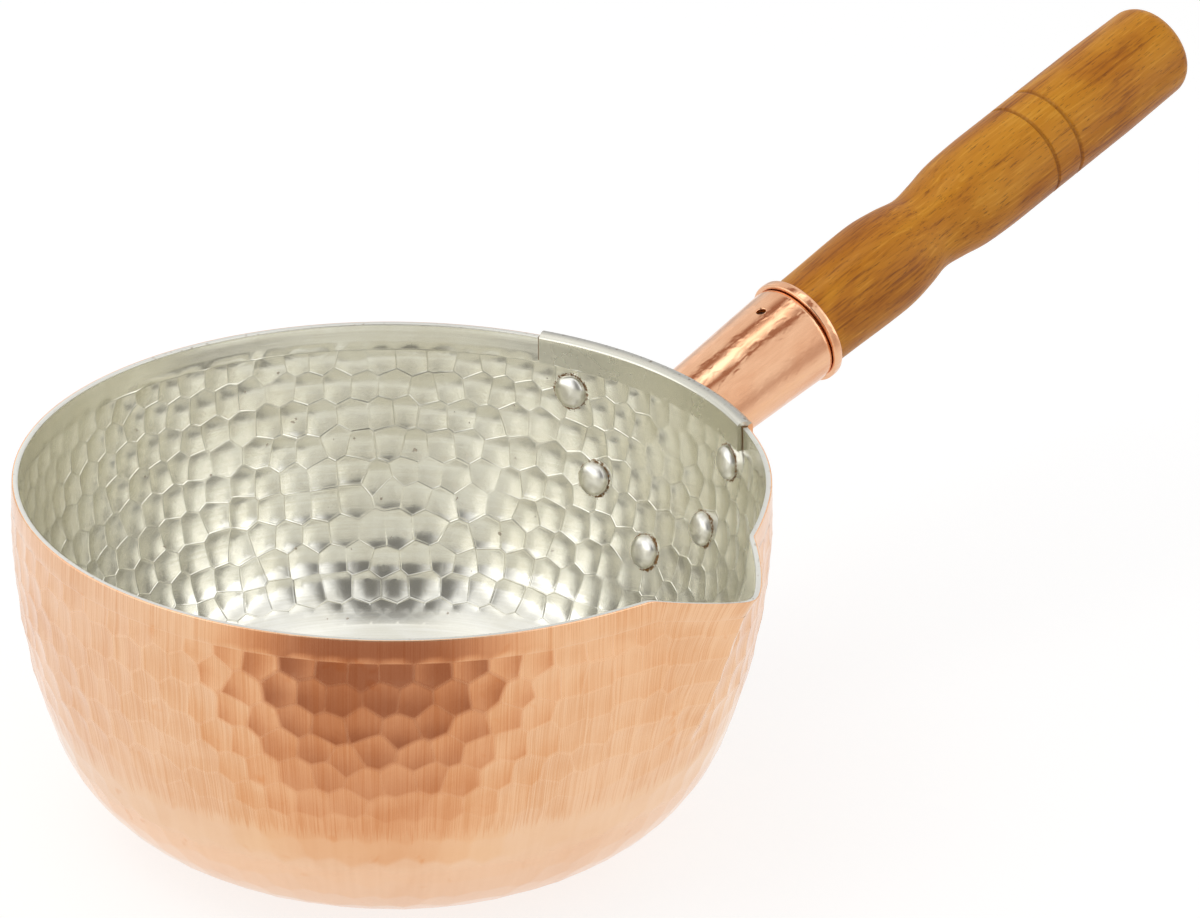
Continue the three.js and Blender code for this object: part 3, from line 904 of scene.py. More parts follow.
@dataclass
class Shell:
    """A closed surface that grows block by block; its loops of points run with the azimuth."""

    points: np.ndarray = field(default_factory=lambda: np.empty((0, 3)))
    quads: np.ndarray = field(default_factory=lambda: np.empty((0, 4), int))
    triangles: np.ndarray = field(default_factory=lambda: np.empty((0, 3), int))
    arc: np.ndarray = field(default_factory=lambda: np.empty(0))
    ridge: np.ndarray = field(default_factory=lambda: np.empty(0))

    def add(self, points: np.ndarray, arc: np.ndarray | float,
            ridge: np.ndarray | float = 0.0) -> np.ndarray:
        """Adds points with their arc and their nearness to a ridge.

        Args:
            points: The points, one to a row.
            arc: Arc of each point, or of all of them.
            ridge: Nearness of each point, or of all of them, to a ridge.

        Returns:
            The numbers of the points.
        """
        numbers = len(self.points) + np.arange(len(points))
        self.points = np.concatenate([self.points, points])
        self.arc = np.concatenate([self.arc, np.broadcast_to(arc, len(points))])
        self.ridge = np.concatenate([self.ridge, np.broadcast_to(ridge, len(points))])
        return numbers

    def strip(self, lower: np.ndarray, upper: np.ndarray) -> None:
        """Joins two loops of as many points by four-sided faces."""
        faces = np.stack([lower, np.roll(lower, -1), np.roll(upper, -1), upper], -1)
        self.quads = np.concatenate([self.quads, faces])

    def fan(self, loop: np.ndarray, upper: bool) -> None:
        """Closes an end with a fan to its middle.

        Args:
            loop: The end's loop.
            upper: Whether it is the upper end.
        """
        pole = self.add(self.points[loop].mean(0)[None], self.arc[loop].mean())
        pair = (loop, np.roll(loop, -1)) if upper else (np.roll(loop, -1), loop)
        faces = np.stack([*pair, np.full(len(loop), pole[0])], -1)
        self.triangles = np.concatenate([self.triangles, faces])

    def surface(self, **values: np.ndarray) -> Surface:
        """The finished surface with its arcs, its ridges and any further values."""
        carried = {"arc": self.arc, "ridge": self.ridge, **values}
        return Surface(self.points, self.quads, self.triangles, carried).turned_out()


@dataclass(frozen=True)
class Cells:
    """A net of hammer marks in the chart: places, climbs, heights and faces of its points."""

    place: np.ndarray
    climb: np.ndarray
    height: np.ndarray
    ridge: np.ndarray
    quads: np.ndarray
    triangles: np.ndarray

    def loop(self, climb: float) -> np.ndarray:
        """A level border of the net.

        Args:
            climb: Climb of the border.

        Returns:
            Numbers of its points, in the order of their azimuths.
        """
        border = np.flatnonzero(np.abs(self.climb - climb) < 1e-7)
        turn = self.place[border] - TURN * np.floor(self.place[border] / TURN + 0.5)
        return border[np.argsort(turn)]


@dataclass(frozen=True)
class HammerMarks:
    """Rows of hammer marks that meet in ridges.

    Each mark covers the part of the chart that is nearer to its middle than to any other (a Voronoi
    cell). It is part of a sphere: its height is the squared distance from the middle over twice the
    sphere's radius, less its depth. The marks fade out towards a plain row below, and the plain band
    under the rim cuts the top row off.
    """

    form: BowlForm
    lowest: float
    highest: float
    seed: int
    pitch: float
    width: float
    sphere: float
    reach: float = 4.5 * MM
    faint_below: float = 0.0
    faint: float = 0.4
    cut: float = 2.5 * MM
    scatter: float = 0.11
    stagger: float = 0.13
    keel_free: tuple[float, float] = (0.22, 0.7)
    rings: tuple[float, ...] = (0.45, 0.84)
    parts: int = 5

    def row_arcs(self) -> np.ndarray:
        """Arcs of the rows, evenly spaced, with a plain one below the marks.

        Returns:
            The arcs, from the lowest up.
        """
        count = round((self.highest - self.lowest) / self.pitch)
        step = (self.highest - self.lowest) / count
        return self.lowest + step * np.arange(-1, count + 1)

    @property
    def top(self) -> float:
        """Arc at which the plain band below the rim cuts the marks off."""
        return self.highest + self.cut

    def borders(self) -> tuple[float, float]:
        """Climbs of the net's level lower and upper borders."""
        lowest = self.row_arcs()[0] - 0.35 * self.pitch
        return float(self.form.climb(lowest)), float(self.form.climb(self.top))

    def strength(self, place: np.ndarray, arc: np.ndarray) -> np.ndarray:
        """How strong the marks are: none on the plain row, faint low on the bowl, uneven elsewhere.

        Args:
            place: Azimuths from the spout's middle.
            arc: Arcs of the same points.

        Returns:
            The strengths.
        """
        rise = smooth_step(arc, self.lowest - 0.9 * self.pitch, self.lowest - 0.45 * self.pitch)
        low = smooth_step(arc, self.faint_below - self.pitch, self.faint_below + self.pitch)
        uneven = 1 + 0.5 * ripples(3 * place, arc / (5 * MM), self.seed + 1)
        return rise * (self.faint + (1 - self.faint) * low) * uneven

    def middles(self) -> tuple[np.ndarray, np.ndarray, np.ndarray]:
        """Middles of the marks: each row is staggered against the last one and scattered a little.

        On the spout the rows lie evenly on both sides of the keel, so that a ridge follows it.

        Returns:
            Places and climbs, and the row of each mark.
        """
        draw = np.random.default_rng(self.seed)
        foot = float(self.form.arc_at_depth(self.form.spout_depth))
        highest = self.highest + 0.4 * self.cut
        rows: list[np.ndarray] = []
        for number, arc in enumerate(self.row_arcs()):
            count = 6 * round(TURN * float(self.form.section(np.array(arc))[0]) / self.width / 6)
            even = ((np.arange(count) + 0.5) / count + 0.5) % 1 - 0.5
            inner = number > 0
            free = smooth_step(np.abs(even) * TURN, *self.keel_free) if arc > foot else np.ones(count)
            loose = self.scatter * inner * np.where((np.abs(even) * count > 0.75) | (arc < foot), 1, 0)
            shift = (0.5 * (number % 2) + draw.uniform(-self.stagger, self.stagger)) * inner
            place = (even + (shift * free + loose * draw.normal(size=count)) / count) * TURN
            level = np.minimum(arc + self.pitch * loose * draw.normal(size=count), highest)
            rows.append(np.stack([place, self.form.climb(level), np.full(count, number)]))
        return tuple(np.concatenate(rows, axis=1))

    def cells(self) -> Cells:
        """Works out the net: the ridges from the triangulation of the middles, then the rings in each mark.

        The corners of the cells are the middles of the circles through three neighbouring marks. Rows
        that mirror the lowest and the highest one beyond the borders make these borders level.

        Returns:
            The net.
        """
        place, climb, row = self.middles()
        count, low, high = len(place), *self.borders()
        first, last = row == 0, row == row.max()
        spots = np.stack([np.concatenate([place, place[first], place[last]]),
                          np.concatenate([climb, 2 * low - climb[first], 2 * high - climb[last]])], -1)
        spots = np.concatenate([spots, spots + (TURN, 0), spots - (TURN, 0)])
        near = np.flatnonzero((np.abs(spots[:, 0]) < math.pi + 0.7) | (np.arange(len(spots)) < count))
        net = delaunay_2d_cdt([Vector(spot) for spot in spots[near]], [], [], 0, 1e-9)
        source = near[np.array([numbers[0] for numbers in net[3]])]
        corners = source[np.array(net[2])]
        circle = self.circle_middles(spots[corners])
        wrapped = np.stack([(circle[:, 0] + 1.2345) % TURN, circle[:, 1]], -1)
        _, sample, knot = np.unique(np.round(wrapped * 1e7), axis=0, return_index=True, return_inverse=True)
        knot = np.repeat(knot.ravel(), 3)
        knots, cell, spoke = circle[sample], corners.ravel(), np.repeat(circle, 3, axis=0)
        held = cell < count
        knot, cell, spoke = knot[held], cell[held], spoke[held] - spots[cell[held]]
        order = np.lexsort([np.arctan2(spoke[:, 1], spoke[:, 0]), cell])
        knot, cell = knot[order], cell[order]
        whole = knot != knot[self.following(cell)]
        used, knot = np.unique(knot[whole], return_inverse=True)
        cell = cell[whole]
        return self.ringed(spots[:count], knots[used], knot, cell, self.following(cell))

    @staticmethod
    def circle_middles(corners: np.ndarray) -> np.ndarray:
        """Middles of the circles through the corners of triangles.

        Args:
            corners: Triangles by corners by the chart's two coordinates.

        Returns:
            A middle for each triangle.
        """
        start = corners[:, 0]
        one, two = corners[:, 1] - start, corners[:, 2] - start
        twice = 2 * (one[:, 0] * two[:, 1] - one[:, 1] * two[:, 0])
        square_one, square_two = (one ** 2).sum(1), (two ** 2).sum(1)
        across = (two[:, 1] * square_one - one[:, 1] * square_two) / twice
        along = (one[:, 0] * square_two - two[:, 0] * square_one) / twice
        return start + np.stack([across, along], -1)

    @staticmethod
    def following(cell: np.ndarray) -> np.ndarray:
        """The way round each cell.

        Args:
            cell: Sorted cell numbers.

        Returns:
            For each entry the next one of the same cell; the last entry leads to the first.
        """
        after = np.arange(1, len(cell) + 1)
        starts = np.flatnonzero(np.concatenate([[True], cell[1:] != cell[:-1]]))
        after[np.concatenate([starts[1:], [len(cell)]]) - 1] = starts
        return after

    def ringed(self, middles: np.ndarray, knots: np.ndarray, knot: np.ndarray, cell: np.ndarray,
               after: np.ndarray) -> Cells:
        """Fills the cells with rings of points.

        Args:
            middles: Middles of the marks in the chart.
            knots: Corners of the cells in the chart.
            knot: For each corner of each cell in turn, its number among the corners.
            cell: For each of these, the cell.
            after: For each of these, the next one round its cell.

        Returns:
            The net.
        """
        ends = np.stack([knot, knot[after]], -1)
        sides, side = np.unique(np.sort(ends, axis=1), axis=0, return_inverse=True)
        share = np.arange(1, self.parts) / self.parts
        span = self.short_way(knots[sides[:, 1]] - knots[sides[:, 0]])
        between = knots[sides[:, 0]][:, None] + share[:, None] * span[:, None]
        border = np.concatenate([knots, between.reshape(-1, 2)])
        inner = len(knots) + side.ravel()[:, None] * (self.parts - 1) + np.arange(self.parts - 1)
        forward = (ends[:, 0] < ends[:, 1])[:, None]
        rim = np.concatenate([knot[:, None], np.where(forward, inner, inner[:, ::-1])], axis=1)
        count = rim.size
        step = np.arange(count).reshape(rim.shape)
        step = np.concatenate([step[:, 1:], step[after, :1]], axis=1).ravel()
        rim, owner = rim.ravel(), np.repeat(cell, self.parts)
        spoke = self.short_way(border[rim] - middles[owner])
        rings = [middles[owner] + ring * spoke for ring in self.rings]
        chart = np.concatenate([border, middles, *rings])
        length = np.hypot(spoke[:, 0], spoke[:, 1])
        far = np.zeros(len(border))
        far[rim] = length
        far = np.concatenate([far, np.zeros(len(middles)), *(ring * length for ring in self.rings)])
        arc = self.form.climb(chart[:, 1], back=True)
        strength = self.strength(chart[:, 0], arc)
        height = strength * ((far * self.form.section(arc)[0]) ** 2 - self.reach ** 2) / (2 * self.sphere)
        ridge = strength * (np.arange(len(chart)) < len(border))
        start = len(border) + len(middles)
        loops = [start + number * count + np.arange(count) for number in range(len(rings))] + [rim]
        quads = [np.stack([inside, outside, outside[step], inside[step]], -1)
                 for inside, outside in zip(loops[:-1], loops[1:])]
        fans = np.stack([len(border) + owner, loops[0], loops[0][step]], -1)
        return Cells(chart[:, 0], chart[:, 1], height, ridge, np.concatenate(quads), fans)

    @staticmethod
    def short_way(step: np.ndarray) -> np.ndarray:
        """Chart steps with their azimuths brought to less than half a turn."""
        return step - np.stack([TURN * np.round(step[:, 0] / TURN), np.zeros(len(step))], -1)


@dataclass(frozen=True)
class RivetPlace:
    """Where a rivet goes through the wall: its azimuth and its depth below the rim."""

    node: str
    azimuth: float
    depth: float


RIVET_PLACES = (
    RivetPlace("rivet_top_left", -18.5 * DEGREE, 13.5 * MM),
    RivetPlace("rivet_top_right", 18.5 * DEGREE, 13.5 * MM),
    RivetPlace("rivet_middle_left", -13 * DEGREE, 35.4 * MM),
    RivetPlace("rivet_middle_right", 13 * DEGREE, 35.4 * MM),
    RivetPlace("rivet_bottom", 0.0, 49 * MM),
)


@dataclass(frozen=True)
class Bowl:
    """The hammered bowl: a copper skin outside and the tin lining inside, each a closed shell.

    The two shells meet at a joint on the rim's edge, most of which is tinned. The middle of the sheet
    between them stays empty.
    """

    form: BowlForm
    bracket: "Bracket"
    copper_share: float = 0.6 * MM
    tin_share: float = 0.5 * MM
    rim_cap: float = 0.35 * MM
    rim_round: float = 0.25 * MM
    rim_joint: float = 106.5 * DEGREE
    rim_gap: float = 2e-4
    band_step: float = 0.55 * MM
    back_wall: float = 130 * MM
    back_corner: float = 100 * MM
    hole: float = 4 * MM

    def outside_marks(self) -> HammerMarks:
        """Marks on the outside, from just above the base to the plain band; the low ones are faint."""
        return HammerMarks(self.form, 54 * MM, self.form.rim_arc - 7.2 * MM, seed=11, pitch=7.7 * MM,
                           width=7.8 * MM, sphere=28 * MM, reach=4.3 * MM, faint_below=112 * MM,
                           cut=1.4 * MM)

    def inside_marks(self) -> HammerMarks:
        """Marks on the inside, from the edge of the smooth floor to the plain band."""
        return HammerMarks(self.form, 86.5 * MM, self.form.rim_arc - 9.8 * MM, seed=23, pitch=8.2 * MM,
                           width=7.4 * MM, sphere=26 * MM)

    def rows(self, shell: Shell, loop: np.ndarray, place: np.ndarray, arcs: np.ndarray,
             offsets: np.ndarray | float, upward: bool) -> np.ndarray:
        """Grows plain rows from a loop of the shell.

        Args:
            shell: The shell.
            loop: The loop from which the rows start.
            place: Azimuths of the loop's points from the spout's middle.
            arcs: Arcs of the rows.
            offsets: Distances of the rows from the outside.
            upward: Whether they follow the loop in the direction of the rim.

        Returns:
            The last row.
        """
        for arc, offset in np.broadcast(arcs, offsets):
            radius, level = self.form.section(np.array(arc), offset)
            row = shell.add(self.form.points(radius, level, place), arc)
            shell.strip(*((loop, row) if upward else (row, loop)))
            loop = row
        return loop

    def face(self, marks: HammerMarks, offset: float, inward: float) -> tuple[Shell, np.ndarray, np.ndarray]:
        """A hammered face of the sheet, closed over the base.

        Args:
            marks: The hammer marks.
            offset: Distance of the face from the outside.
            inward: 1 where the marks are pressed in from the outside, -1 from the inside.

        Returns:
            The shell, its upper loop, and the azimuths of that loop from the spout's middle.
        """
        net, (low, high) = marks.cells(), marks.borders()
        arc = self.form.climb(net.climb, back=True)
        radius, level = self.form.section(arc, offset + inward * net.height)
        shell = Shell(quads=net.quads, triangles=net.triangles)
        shell.add(self.form.points(radius, level, net.place), arc, net.ridge)
        lower, upper = net.loop(low), net.loop(high)
        arcs = np.linspace(float(self.form.climb(low, back=True)), self.hole, 6)[1:]
        shell.fan(self.rows(shell, lower, net.place[lower], arcs, offset, False), False)
        return shell, upper, net.place[upper]

    def close(self, shell: Shell, loop: np.ndarray, place: np.ndarray, offset: float) -> None:
        """Grows the plain hidden face in the middle of the sheet, from below the rim down to the axis.

        Args:
            shell: The shell.
            loop: Its last loop at the rim.
            place: Azimuths of the loop's points from the spout's middle.
            offset: Distance of the hidden face from the outside.
        """
        top = self.form.rim_arc - self.rim_cap
        arcs = np.concatenate([np.linspace(top, self.back_wall, 7)[:-1],
                               np.linspace(self.back_wall, self.back_corner, 4)[:-1],
                               np.linspace(self.back_corner, self.form.base_radius, 9), [1.5 * self.hole]])
        shell.fan(self.rows(shell, loop, place, arcs, offset, True), True)

    def rim(self, shell: Shell, loop: np.ndarray, place: np.ndarray, start: float,
            turn: np.ndarray) -> np.ndarray:
        """Grows the plain band above the marks and then part of the rim's edge.

        The edge is half a rounded square: its offset follows the root of the turn's cosine and its
        height the root of the sine. Turn 0 is the inside and half a turn the outside.

        Args:
            shell: The shell.
            loop: Its loop along the top of the marks.
            place: Azimuths of the loop's points from the spout's middle.
            start: Arc of the loop.
            turn: Angles of the rows on the edge.

        Returns:
            The last row.
        """
        form = self.form
        offset = -form.sheet / 2 * (1 + np.sign(np.cos(turn)) * np.abs(np.cos(turn)) ** 0.5)
        edge = form.rim_arc - self.rim_round * (1 - np.abs(np.sin(turn)) ** 0.5)
        band = np.linspace(start + self.band_step, edge[0], 4)[:-1]
        offsets = np.concatenate([np.full(len(band), offset[0]), offset])
        return self.rows(shell, loop, place, np.concatenate([band, edge]), offsets, True)

    def skin(self) -> Surface:
        """The copper skin: the hammered outside, the rim's edge up to the joint and a plain hidden back.

        Returns:
            The closed surface.
        """
        marks = self.outside_marks()
        shell, loop, place = self.face(marks, 0.0, 1.0)
        turn = np.linspace(math.pi, self.rim_joint + self.rim_gap, 6)
        loop = self.rim(shell, loop, place, marks.top, turn)
        self.close(shell, loop, place, -self.copper_share)
        return shell.surface()

    def lining(self) -> Surface:
        """The tin lining: the hammered inside, the rest of the rim's edge and a plain hidden back.

        Returns:
            The closed surface, whose points carry their distance from a rivet.
        """
        marks = self.inside_marks()
        shell, loop, place = self.face(marks, -self.form.sheet, -1.0)
        turn = np.linspace(0, self.rim_joint - self.rim_gap, 8)
        loop = self.rim(shell, loop, place, marks.top, turn)
        self.close(shell, loop, place, self.tin_share - self.form.sheet)
        return shell.surface(rivet_distance=self.rivet_distance(shell.points))

    def rivet_distance(self, points: np.ndarray) -> np.ndarray:
        """Distance of each point from the middle of the nearest rivet's head.

        Args:
            points: The points, one to a row.

        Returns:
            The distances.
        """
        near = np.full(len(points), np.inf)
        for place in RIVET_PLACES:
            radius, level = self.form.section(self.form.arc_at_depth(place.depth), -self.form.sheet)
            middle = np.array([radius * math.cos(place.azimuth), radius * math.sin(place.azimuth), level])
            near = np.minimum(near, np.linalg.norm(points - middle, axis=-1))
        return near

    def build(self) -> None:
        """Makes both shells."""
        copper = HammeredCopper().material(self.form.rim_radius)
        tin = TinLining().material(self.form, self.bracket)
        add_piece(self.skin(), "bowl_copper_skin", copper, "pan_bowl")
        add_piece(self.lining(), "bowl_tin_lining", tin, "pan_bowl")


@dataclass(frozen=True)
class Bracket:
    """The bent sheet that carries the handle: a lip inside the rim, a fold over it and a shield outside."""

    form: BowlForm
    sheet: float = 1.2 * MM
    gap: float = 0.12 * MM
    half_angle: float = 24 * DEGREE
    lip_depth: float = 6.5 * MM
    shoulder: float = 16 * MM
    depth: float = 58 * MM
    taper: float = 1.6
    rounding: float = 0.75
    tip: float = 0.985
    cut_edge: float = 0.22 * MM
    columns: int = 72

    @property
    def outer_face(self) -> float:
        """Distance of the shield's outer face from the bowl's outside."""
        return self.gap + self.sheet

    def face(self, height: float, lip: np.ndarray, turn: np.ndarray, shield: np.ndarray) -> np.ndarray:
        """One face of the sheet: lip and shield follow the wall at an offset, the fold is half an oval.

        Args:
            height: Height above the face that touches the bowl.
            lip: Arcs of the lip's rows.
            turn: Angles of the fold's rows, from half a turn inside to 0 outside.
            shield: Arcs of the shield's rows.

        Returns:
            Radius and height pairs from the lip's edge over the rim to the shield's tip.
        """
        form, lean = self.form, self.form.rim_tilt
        outward = np.array([math.sin(lean), -math.cos(lean)])
        upward = np.array([math.cos(lean), math.sin(lean)])
        middle = np.stack(form.section(np.array(form.rim_arc), -form.sheet / 2))
        across = (form.sheet / 2 + self.gap + height) * np.cos(turn)
        rise = (self.gap + height) * np.sin(turn)
        inside = np.stack(form.section(lip, -form.sheet - self.gap - height), -1)
        fold = middle + across[:, None] * outward + rise[:, None] * upward
        outside = np.stack(form.section(shield, self.gap + height), -1)
        return np.concatenate([inside, fold, outside])

    def surface(self) -> Surface:
        """Spreads each row across its half angle, out along one face and back along the other.

        The half angle is even down to the shoulder and then closes towards the tip as a power of the
        depth. The columns lie closer together at the cut edges.

        Returns:
            The surface, whose rows carry how far they are tinned and folded.
        """
        down = np.linspace(0, self.shoulder + (self.depth - self.shoulder) * self.tip, 46)
        lip = self.form.arc_at_depth(np.linspace(self.lip_depth, 0, 7))
        turn = np.linspace(math.pi, 0, 17)[1:-1]
        shield = self.form.arc_at_depth(down)
        narrow = np.clip((down - self.shoulder) / (self.depth - self.shoulder), 0, 1)
        narrow = (1 - narrow ** self.taper) ** self.rounding
        half = self.half_angle * np.concatenate([np.ones(len(lip) + len(turn)), narrow])
        tin = np.concatenate([np.ones(len(lip)), smooth_step(turn, 0.1, 0.7), np.zeros(len(shield))])
        fold = np.concatenate([np.zeros(len(lip)), fall(turn, 0.35 * math.pi, 0.75 * math.pi),
                               np.ones(len(shield))])
        share = np.linspace(-1, 1, self.columns)
        share = np.sign(share) * (1 - (1 - np.abs(share)) ** 1.3)
        azimuth = half[:, None] * np.concatenate([share, share[::-1]])
        faces = [self.face(height, lip, turn, shield) for height in (0.0, self.sheet)]
        face = np.stack(faces, 1).repeat(self.columns, axis=1)
        grid = round_axis(face[..., 0], face[..., 1], azimuth, np.zeros(3), np.eye(3))
        return Surface.woven(grid, Ends.STRIPS, {"tin": tin, "fold": fold})

    def build(self) -> None:
        """Makes the bracket and rounds its cut edges."""
        piece = add_piece(self.surface(), "handle_bracket_sheet", BracketCoat().material(),
                          "handle_bracket", sharp=50 * DEGREE)
        bevel = piece.modifiers.new("cut_edges", "BEVEL")
        bevel.width = self.cut_edge
        bevel.segments = 2
        bevel.limit_method = "ANGLE"
        bevel.angle_limit = 55 * DEGREE


@dataclass(frozen=True)
class Rivets:
    """Rivets with a dome inside the bowl and a flatter peened head on the bracket."""

    form: BowlForm
    bracket: Bracket
    shank: float = 2.1 * MM
    dome_radius: float = 4.4 * MM
    dome_height: float = 2.3 * MM
    peen_radius: float = 3.9 * MM
    peen_height: float = 1.5 * MM
    roundness: float = 2.3
    bed: float = 0.3 * MM
    undercut: float = 0.1 * MM
    uneven: float = 0.03
    sides: int = 64

    def cap(self, radius: float, height: float) -> np.ndarray:
        """A flattened dome from near its pole to its edge.

        The dome is a superellipse: one less the radius share to the roundness is the height share to
        the roundness, which keeps the crown broad and the foot steep.

        Args:
            radius: Radius of the foot.
            height: Height of the crown.

        Returns:
            Radius and height pairs.
        """
        share = np.sin(np.linspace(0.03, 1, 18) * math.pi / 2)
        rise = (1 - share ** self.roundness) ** (1 / self.roundness)
        return np.stack([radius * share, height * rise], -1)

    def profile(self) -> tuple[np.ndarray, np.ndarray]:
        """The turned profile: dome, shank through both sheets, peened head.

        Returns:
            Radius and height pairs outwards from the lining, and how near each is to a head's foot.
        """
        dome = self.cap(self.dome_radius, self.dome_height)
        peen = self.cap(self.peen_radius, self.peen_height)
        stack = self.form.sheet + self.bracket.outer_face
        inner = np.stack([dome[:, 0], -dome[:, 1]], -1)
        outer = np.stack([peen[:, 0], stack + peen[:, 1]], -1)[::-1]
        shank = np.array([[self.dome_radius - self.undercut, self.bed], [self.shank, self.bed],
                          [self.shank, stack - self.bed],
                          [self.peen_radius - self.undercut, stack - self.bed]])
        foot = np.concatenate([1 - dome[:, 1] / self.dome_height, np.ones(len(shank)),
                               (1 - peen[:, 1] / self.peen_height)[::-1]])
        return np.concatenate([inner, shank, outer]), foot ** 3

    def surface(self, place: RivetPlace, seed: int) -> Surface:
        """Turns the profile about the wall's normal at a place; the hammered heads are a little uneven.

        Args:
            place: Where the rivet goes.
            seed: Seed of the unevenness.

        Returns:
            The rivet.
        """
        profile, foot = self.profile()
        turn = full_turn(self.sides)
        uneven = 1 + self.uneven * ripples(turn, profile[:, 1:] / self.dome_height * 3, seed)
        arc = self.form.arc_at_depth(place.depth)
        tilt = float(self.form.tilt(arc))
        radius, level = self.form.section(arc, -self.form.sheet)
        outward = np.array([math.sin(tilt), 0, -math.cos(tilt)])
        rise = np.array([math.cos(tilt), 0, math.sin(tilt)])
        middle = np.array([float(radius), 0, float(level)])
        grid = round_axis(profile[:, :1] * uneven, profile[:, 1:], turn, middle, (rise, SIDE, outward))
        spin = np.array(Matrix.Rotation(place.azimuth, 3, "Z"))
        return Surface.woven(grid @ spin.T, Ends.POLES, {"foot": foot})

    def build(self) -> None:
        """Makes every rivet."""
        tin = RivetTin().material()
        for seed, place in enumerate(RIVET_PLACES, start=31):
            name = place.node.replace("rivet", "rivet_head")
            add_piece(self.surface(place, seed), name, tin, place.node, sharp=60 * DEGREE)


@dataclass(frozen=True)
class Ferrule:
    """The conical socket brazed to the bracket, and the collar ring between it and the wood.

    The hole's flare is given as added radius and height above the cone, in millimetres.
    """

    line: HandleLine
    form: BowlForm
    bracket: Bracket
    sheet: float = 1.2 * MM
    mouth: float = 144.7 * MM
    mouth_radius: float = 13.65 * MM
    mouth_edge: float = 0.35 * MM
    mouth_drop: float = 0.2 * MM
    taper: float = 0.0455
    wave: float = 0.045 * MM
    fillet: float = 1.6 * MM
    fillet_length: float = 5 * MM
    foot_range: tuple[float, float] = (78 * MM, 112 * MM)
    collar_gap: float = 0.4 * MM
    collar_width: float = 2.7 * MM
    collar_radius: float = 14.65 * MM
    collar_crown: float = 0.06 * MM
    collar_bore: float = 12.6 * MM
    collar_edge: float = 0.6 * MM
    hole_station: float = 136.4 * MM
    hole_radius: float = 1.2 * MM
    hole_flare: tuple[tuple[float, float], ...] = (
        (0, -2.6), (0, -0.35), (0.12, -0.1), (0.4, 0.1), (0.8, 0.6))
    sides: int = 192
    rows: int = 90

    @property
    def collar_end(self) -> float:
        """Station at which the collar ends."""
        return self.mouth + self.collar_gap + self.collar_width

    def radius(self, station: np.ndarray | float) -> np.ndarray | float:
        """Outer radius of the cone at a station."""
        return self.mouth_radius - self.taper * (self.mouth - station)

    def foot(self, angle: np.ndarray, extra: float) -> np.ndarray:
        """Stations at which the cone, widened by an extra radius, meets the bracket, by halving.

        Args:
            angle: Angles round the axis.
            extra: Added to the cone's radius.

        Returns:
            A station for each angle.
        """
        reach = self.form.wall_radius + self.bracket.outer_face
        centre, level = self.form.wall_centre
        low, high = (np.full(angle.shape, end) for end in self.foot_range)
        for _ in range(40):
            middle = (low + high) / 2
            point = self.line.points(self.radius(middle) + extra, middle, angle)
            cosine = np.clip((level - point[..., 2]) / reach, -1, 1)
            within = np.hypot(point[..., 0], point[..., 1]) < centre + reach * np.sqrt(1 - cosine ** 2)
            low, high = np.where(within, middle, low), np.where(within, high, middle)
        return (low + high) / 2

    def socket_surface(self) -> Surface:
        """The socket: a cone from the bracket to its mouth, with a braze fillet at the foot.

        The outer radius is the cone's, plus the fillet times the square of the share of its length
        that is left, plus slight waves from planishing, and it drops a little at the mouth's edge.
        The inside runs back at the sheet's distance.

        Returns:
            The surface.
        """
        angle = full_turn(self.sides)
        start = self.foot(angle, self.fillet)
        station = start + (self.mouth - start) * np.linspace(0, 1, self.rows)[:, None] ** 1.4
        left = np.clip(1 - (station - start) / self.fillet_length, 0, 1)
        waves = ripples(angle, station / (4 * MM), seed=7) * self.wave
        edge = np.clip((station - self.mouth) / self.mouth_edge + 1, 0, 1)
        outside = self.radius(station) + self.fillet * left ** 2 + waves * (1 - left)
        outside = outside - self.mouth_drop * edge ** 2
        start = self.foot(angle, -self.sheet)
        back = start + (self.mouth - start) * np.linspace(1, 0, 12)[:, None]
        grid = np.concatenate([self.line.points(outside, station, angle),
                               self.line.points(self.radius(back) - self.sheet, back, angle)])
        return Surface.woven(grid, Ends.LOOP)

    def drill(self) -> bpy.types.Object:
        """A drill for the nail hole, square to the axis, that flares out at the surface.

        Returns:
            The drill.
        """
        surface = (self.hole_radius, self.radius(self.hole_station))
        grid = self.line.upright(surface + np.array(self.hole_flare) * MM, self.hole_station, 40)
        return placed("nail_drill", Surface.woven(grid, Ends.POLES).mesh("nail_drill", 40 * DEGREE))

    def collar_surface(self) -> Surface:
        """The collar: a band with rounded edges, slightly crowned, with its bore on the wood.

        Returns:
            The surface.
        """
        begin, end = self.mouth + self.collar_gap, self.collar_end
        turn = np.linspace(-math.pi / 2, 0, 7)
        edge = self.collar_edge
        reach, rise = self.collar_radius - edge + edge * np.cos(turn), edge + edge * np.sin(turn)
        lower = np.stack([reach, begin + rise], -1)
        upper = np.stack([reach, end - rise], -1)[::-1]
        crown = np.array([[self.collar_radius + self.collar_crown, (begin + end) / 2]])
        bore = np.array([[self.collar_bore, end], [self.collar_bore, begin]])
        grid = self.line.turned(np.concatenate([lower, crown, upper, bore]), self.sides)
        return Surface.woven(grid, Ends.LOOP)

    def build(self) -> None:
        """Makes both pieces and drills the nail hole."""
        copper = PolishedCopper().material(self.line)
        socket = add_piece(self.socket_surface(), "handle_socket_cone", copper,
                           "handle_socket")
        drill = self.drill()
        cut = socket.modifiers.new("nail_hole", "BOOLEAN")
        cut.operation = "DIFFERENCE"
        cut.solver = "EXACT"
        cut.object = drill
        shaped = socket.evaluated_get(bpy.context.evaluated_depsgraph_get())
        plain, socket.data = socket.data, bpy.data.meshes.new_from_object(shaped)
        socket.modifiers.clear()
        bpy.data.meshes.remove(plain)
        bpy.data.objects.remove(drill)
        add_piece(self.collar_surface(), "socket_collar_ring", copper, "socket_collar")


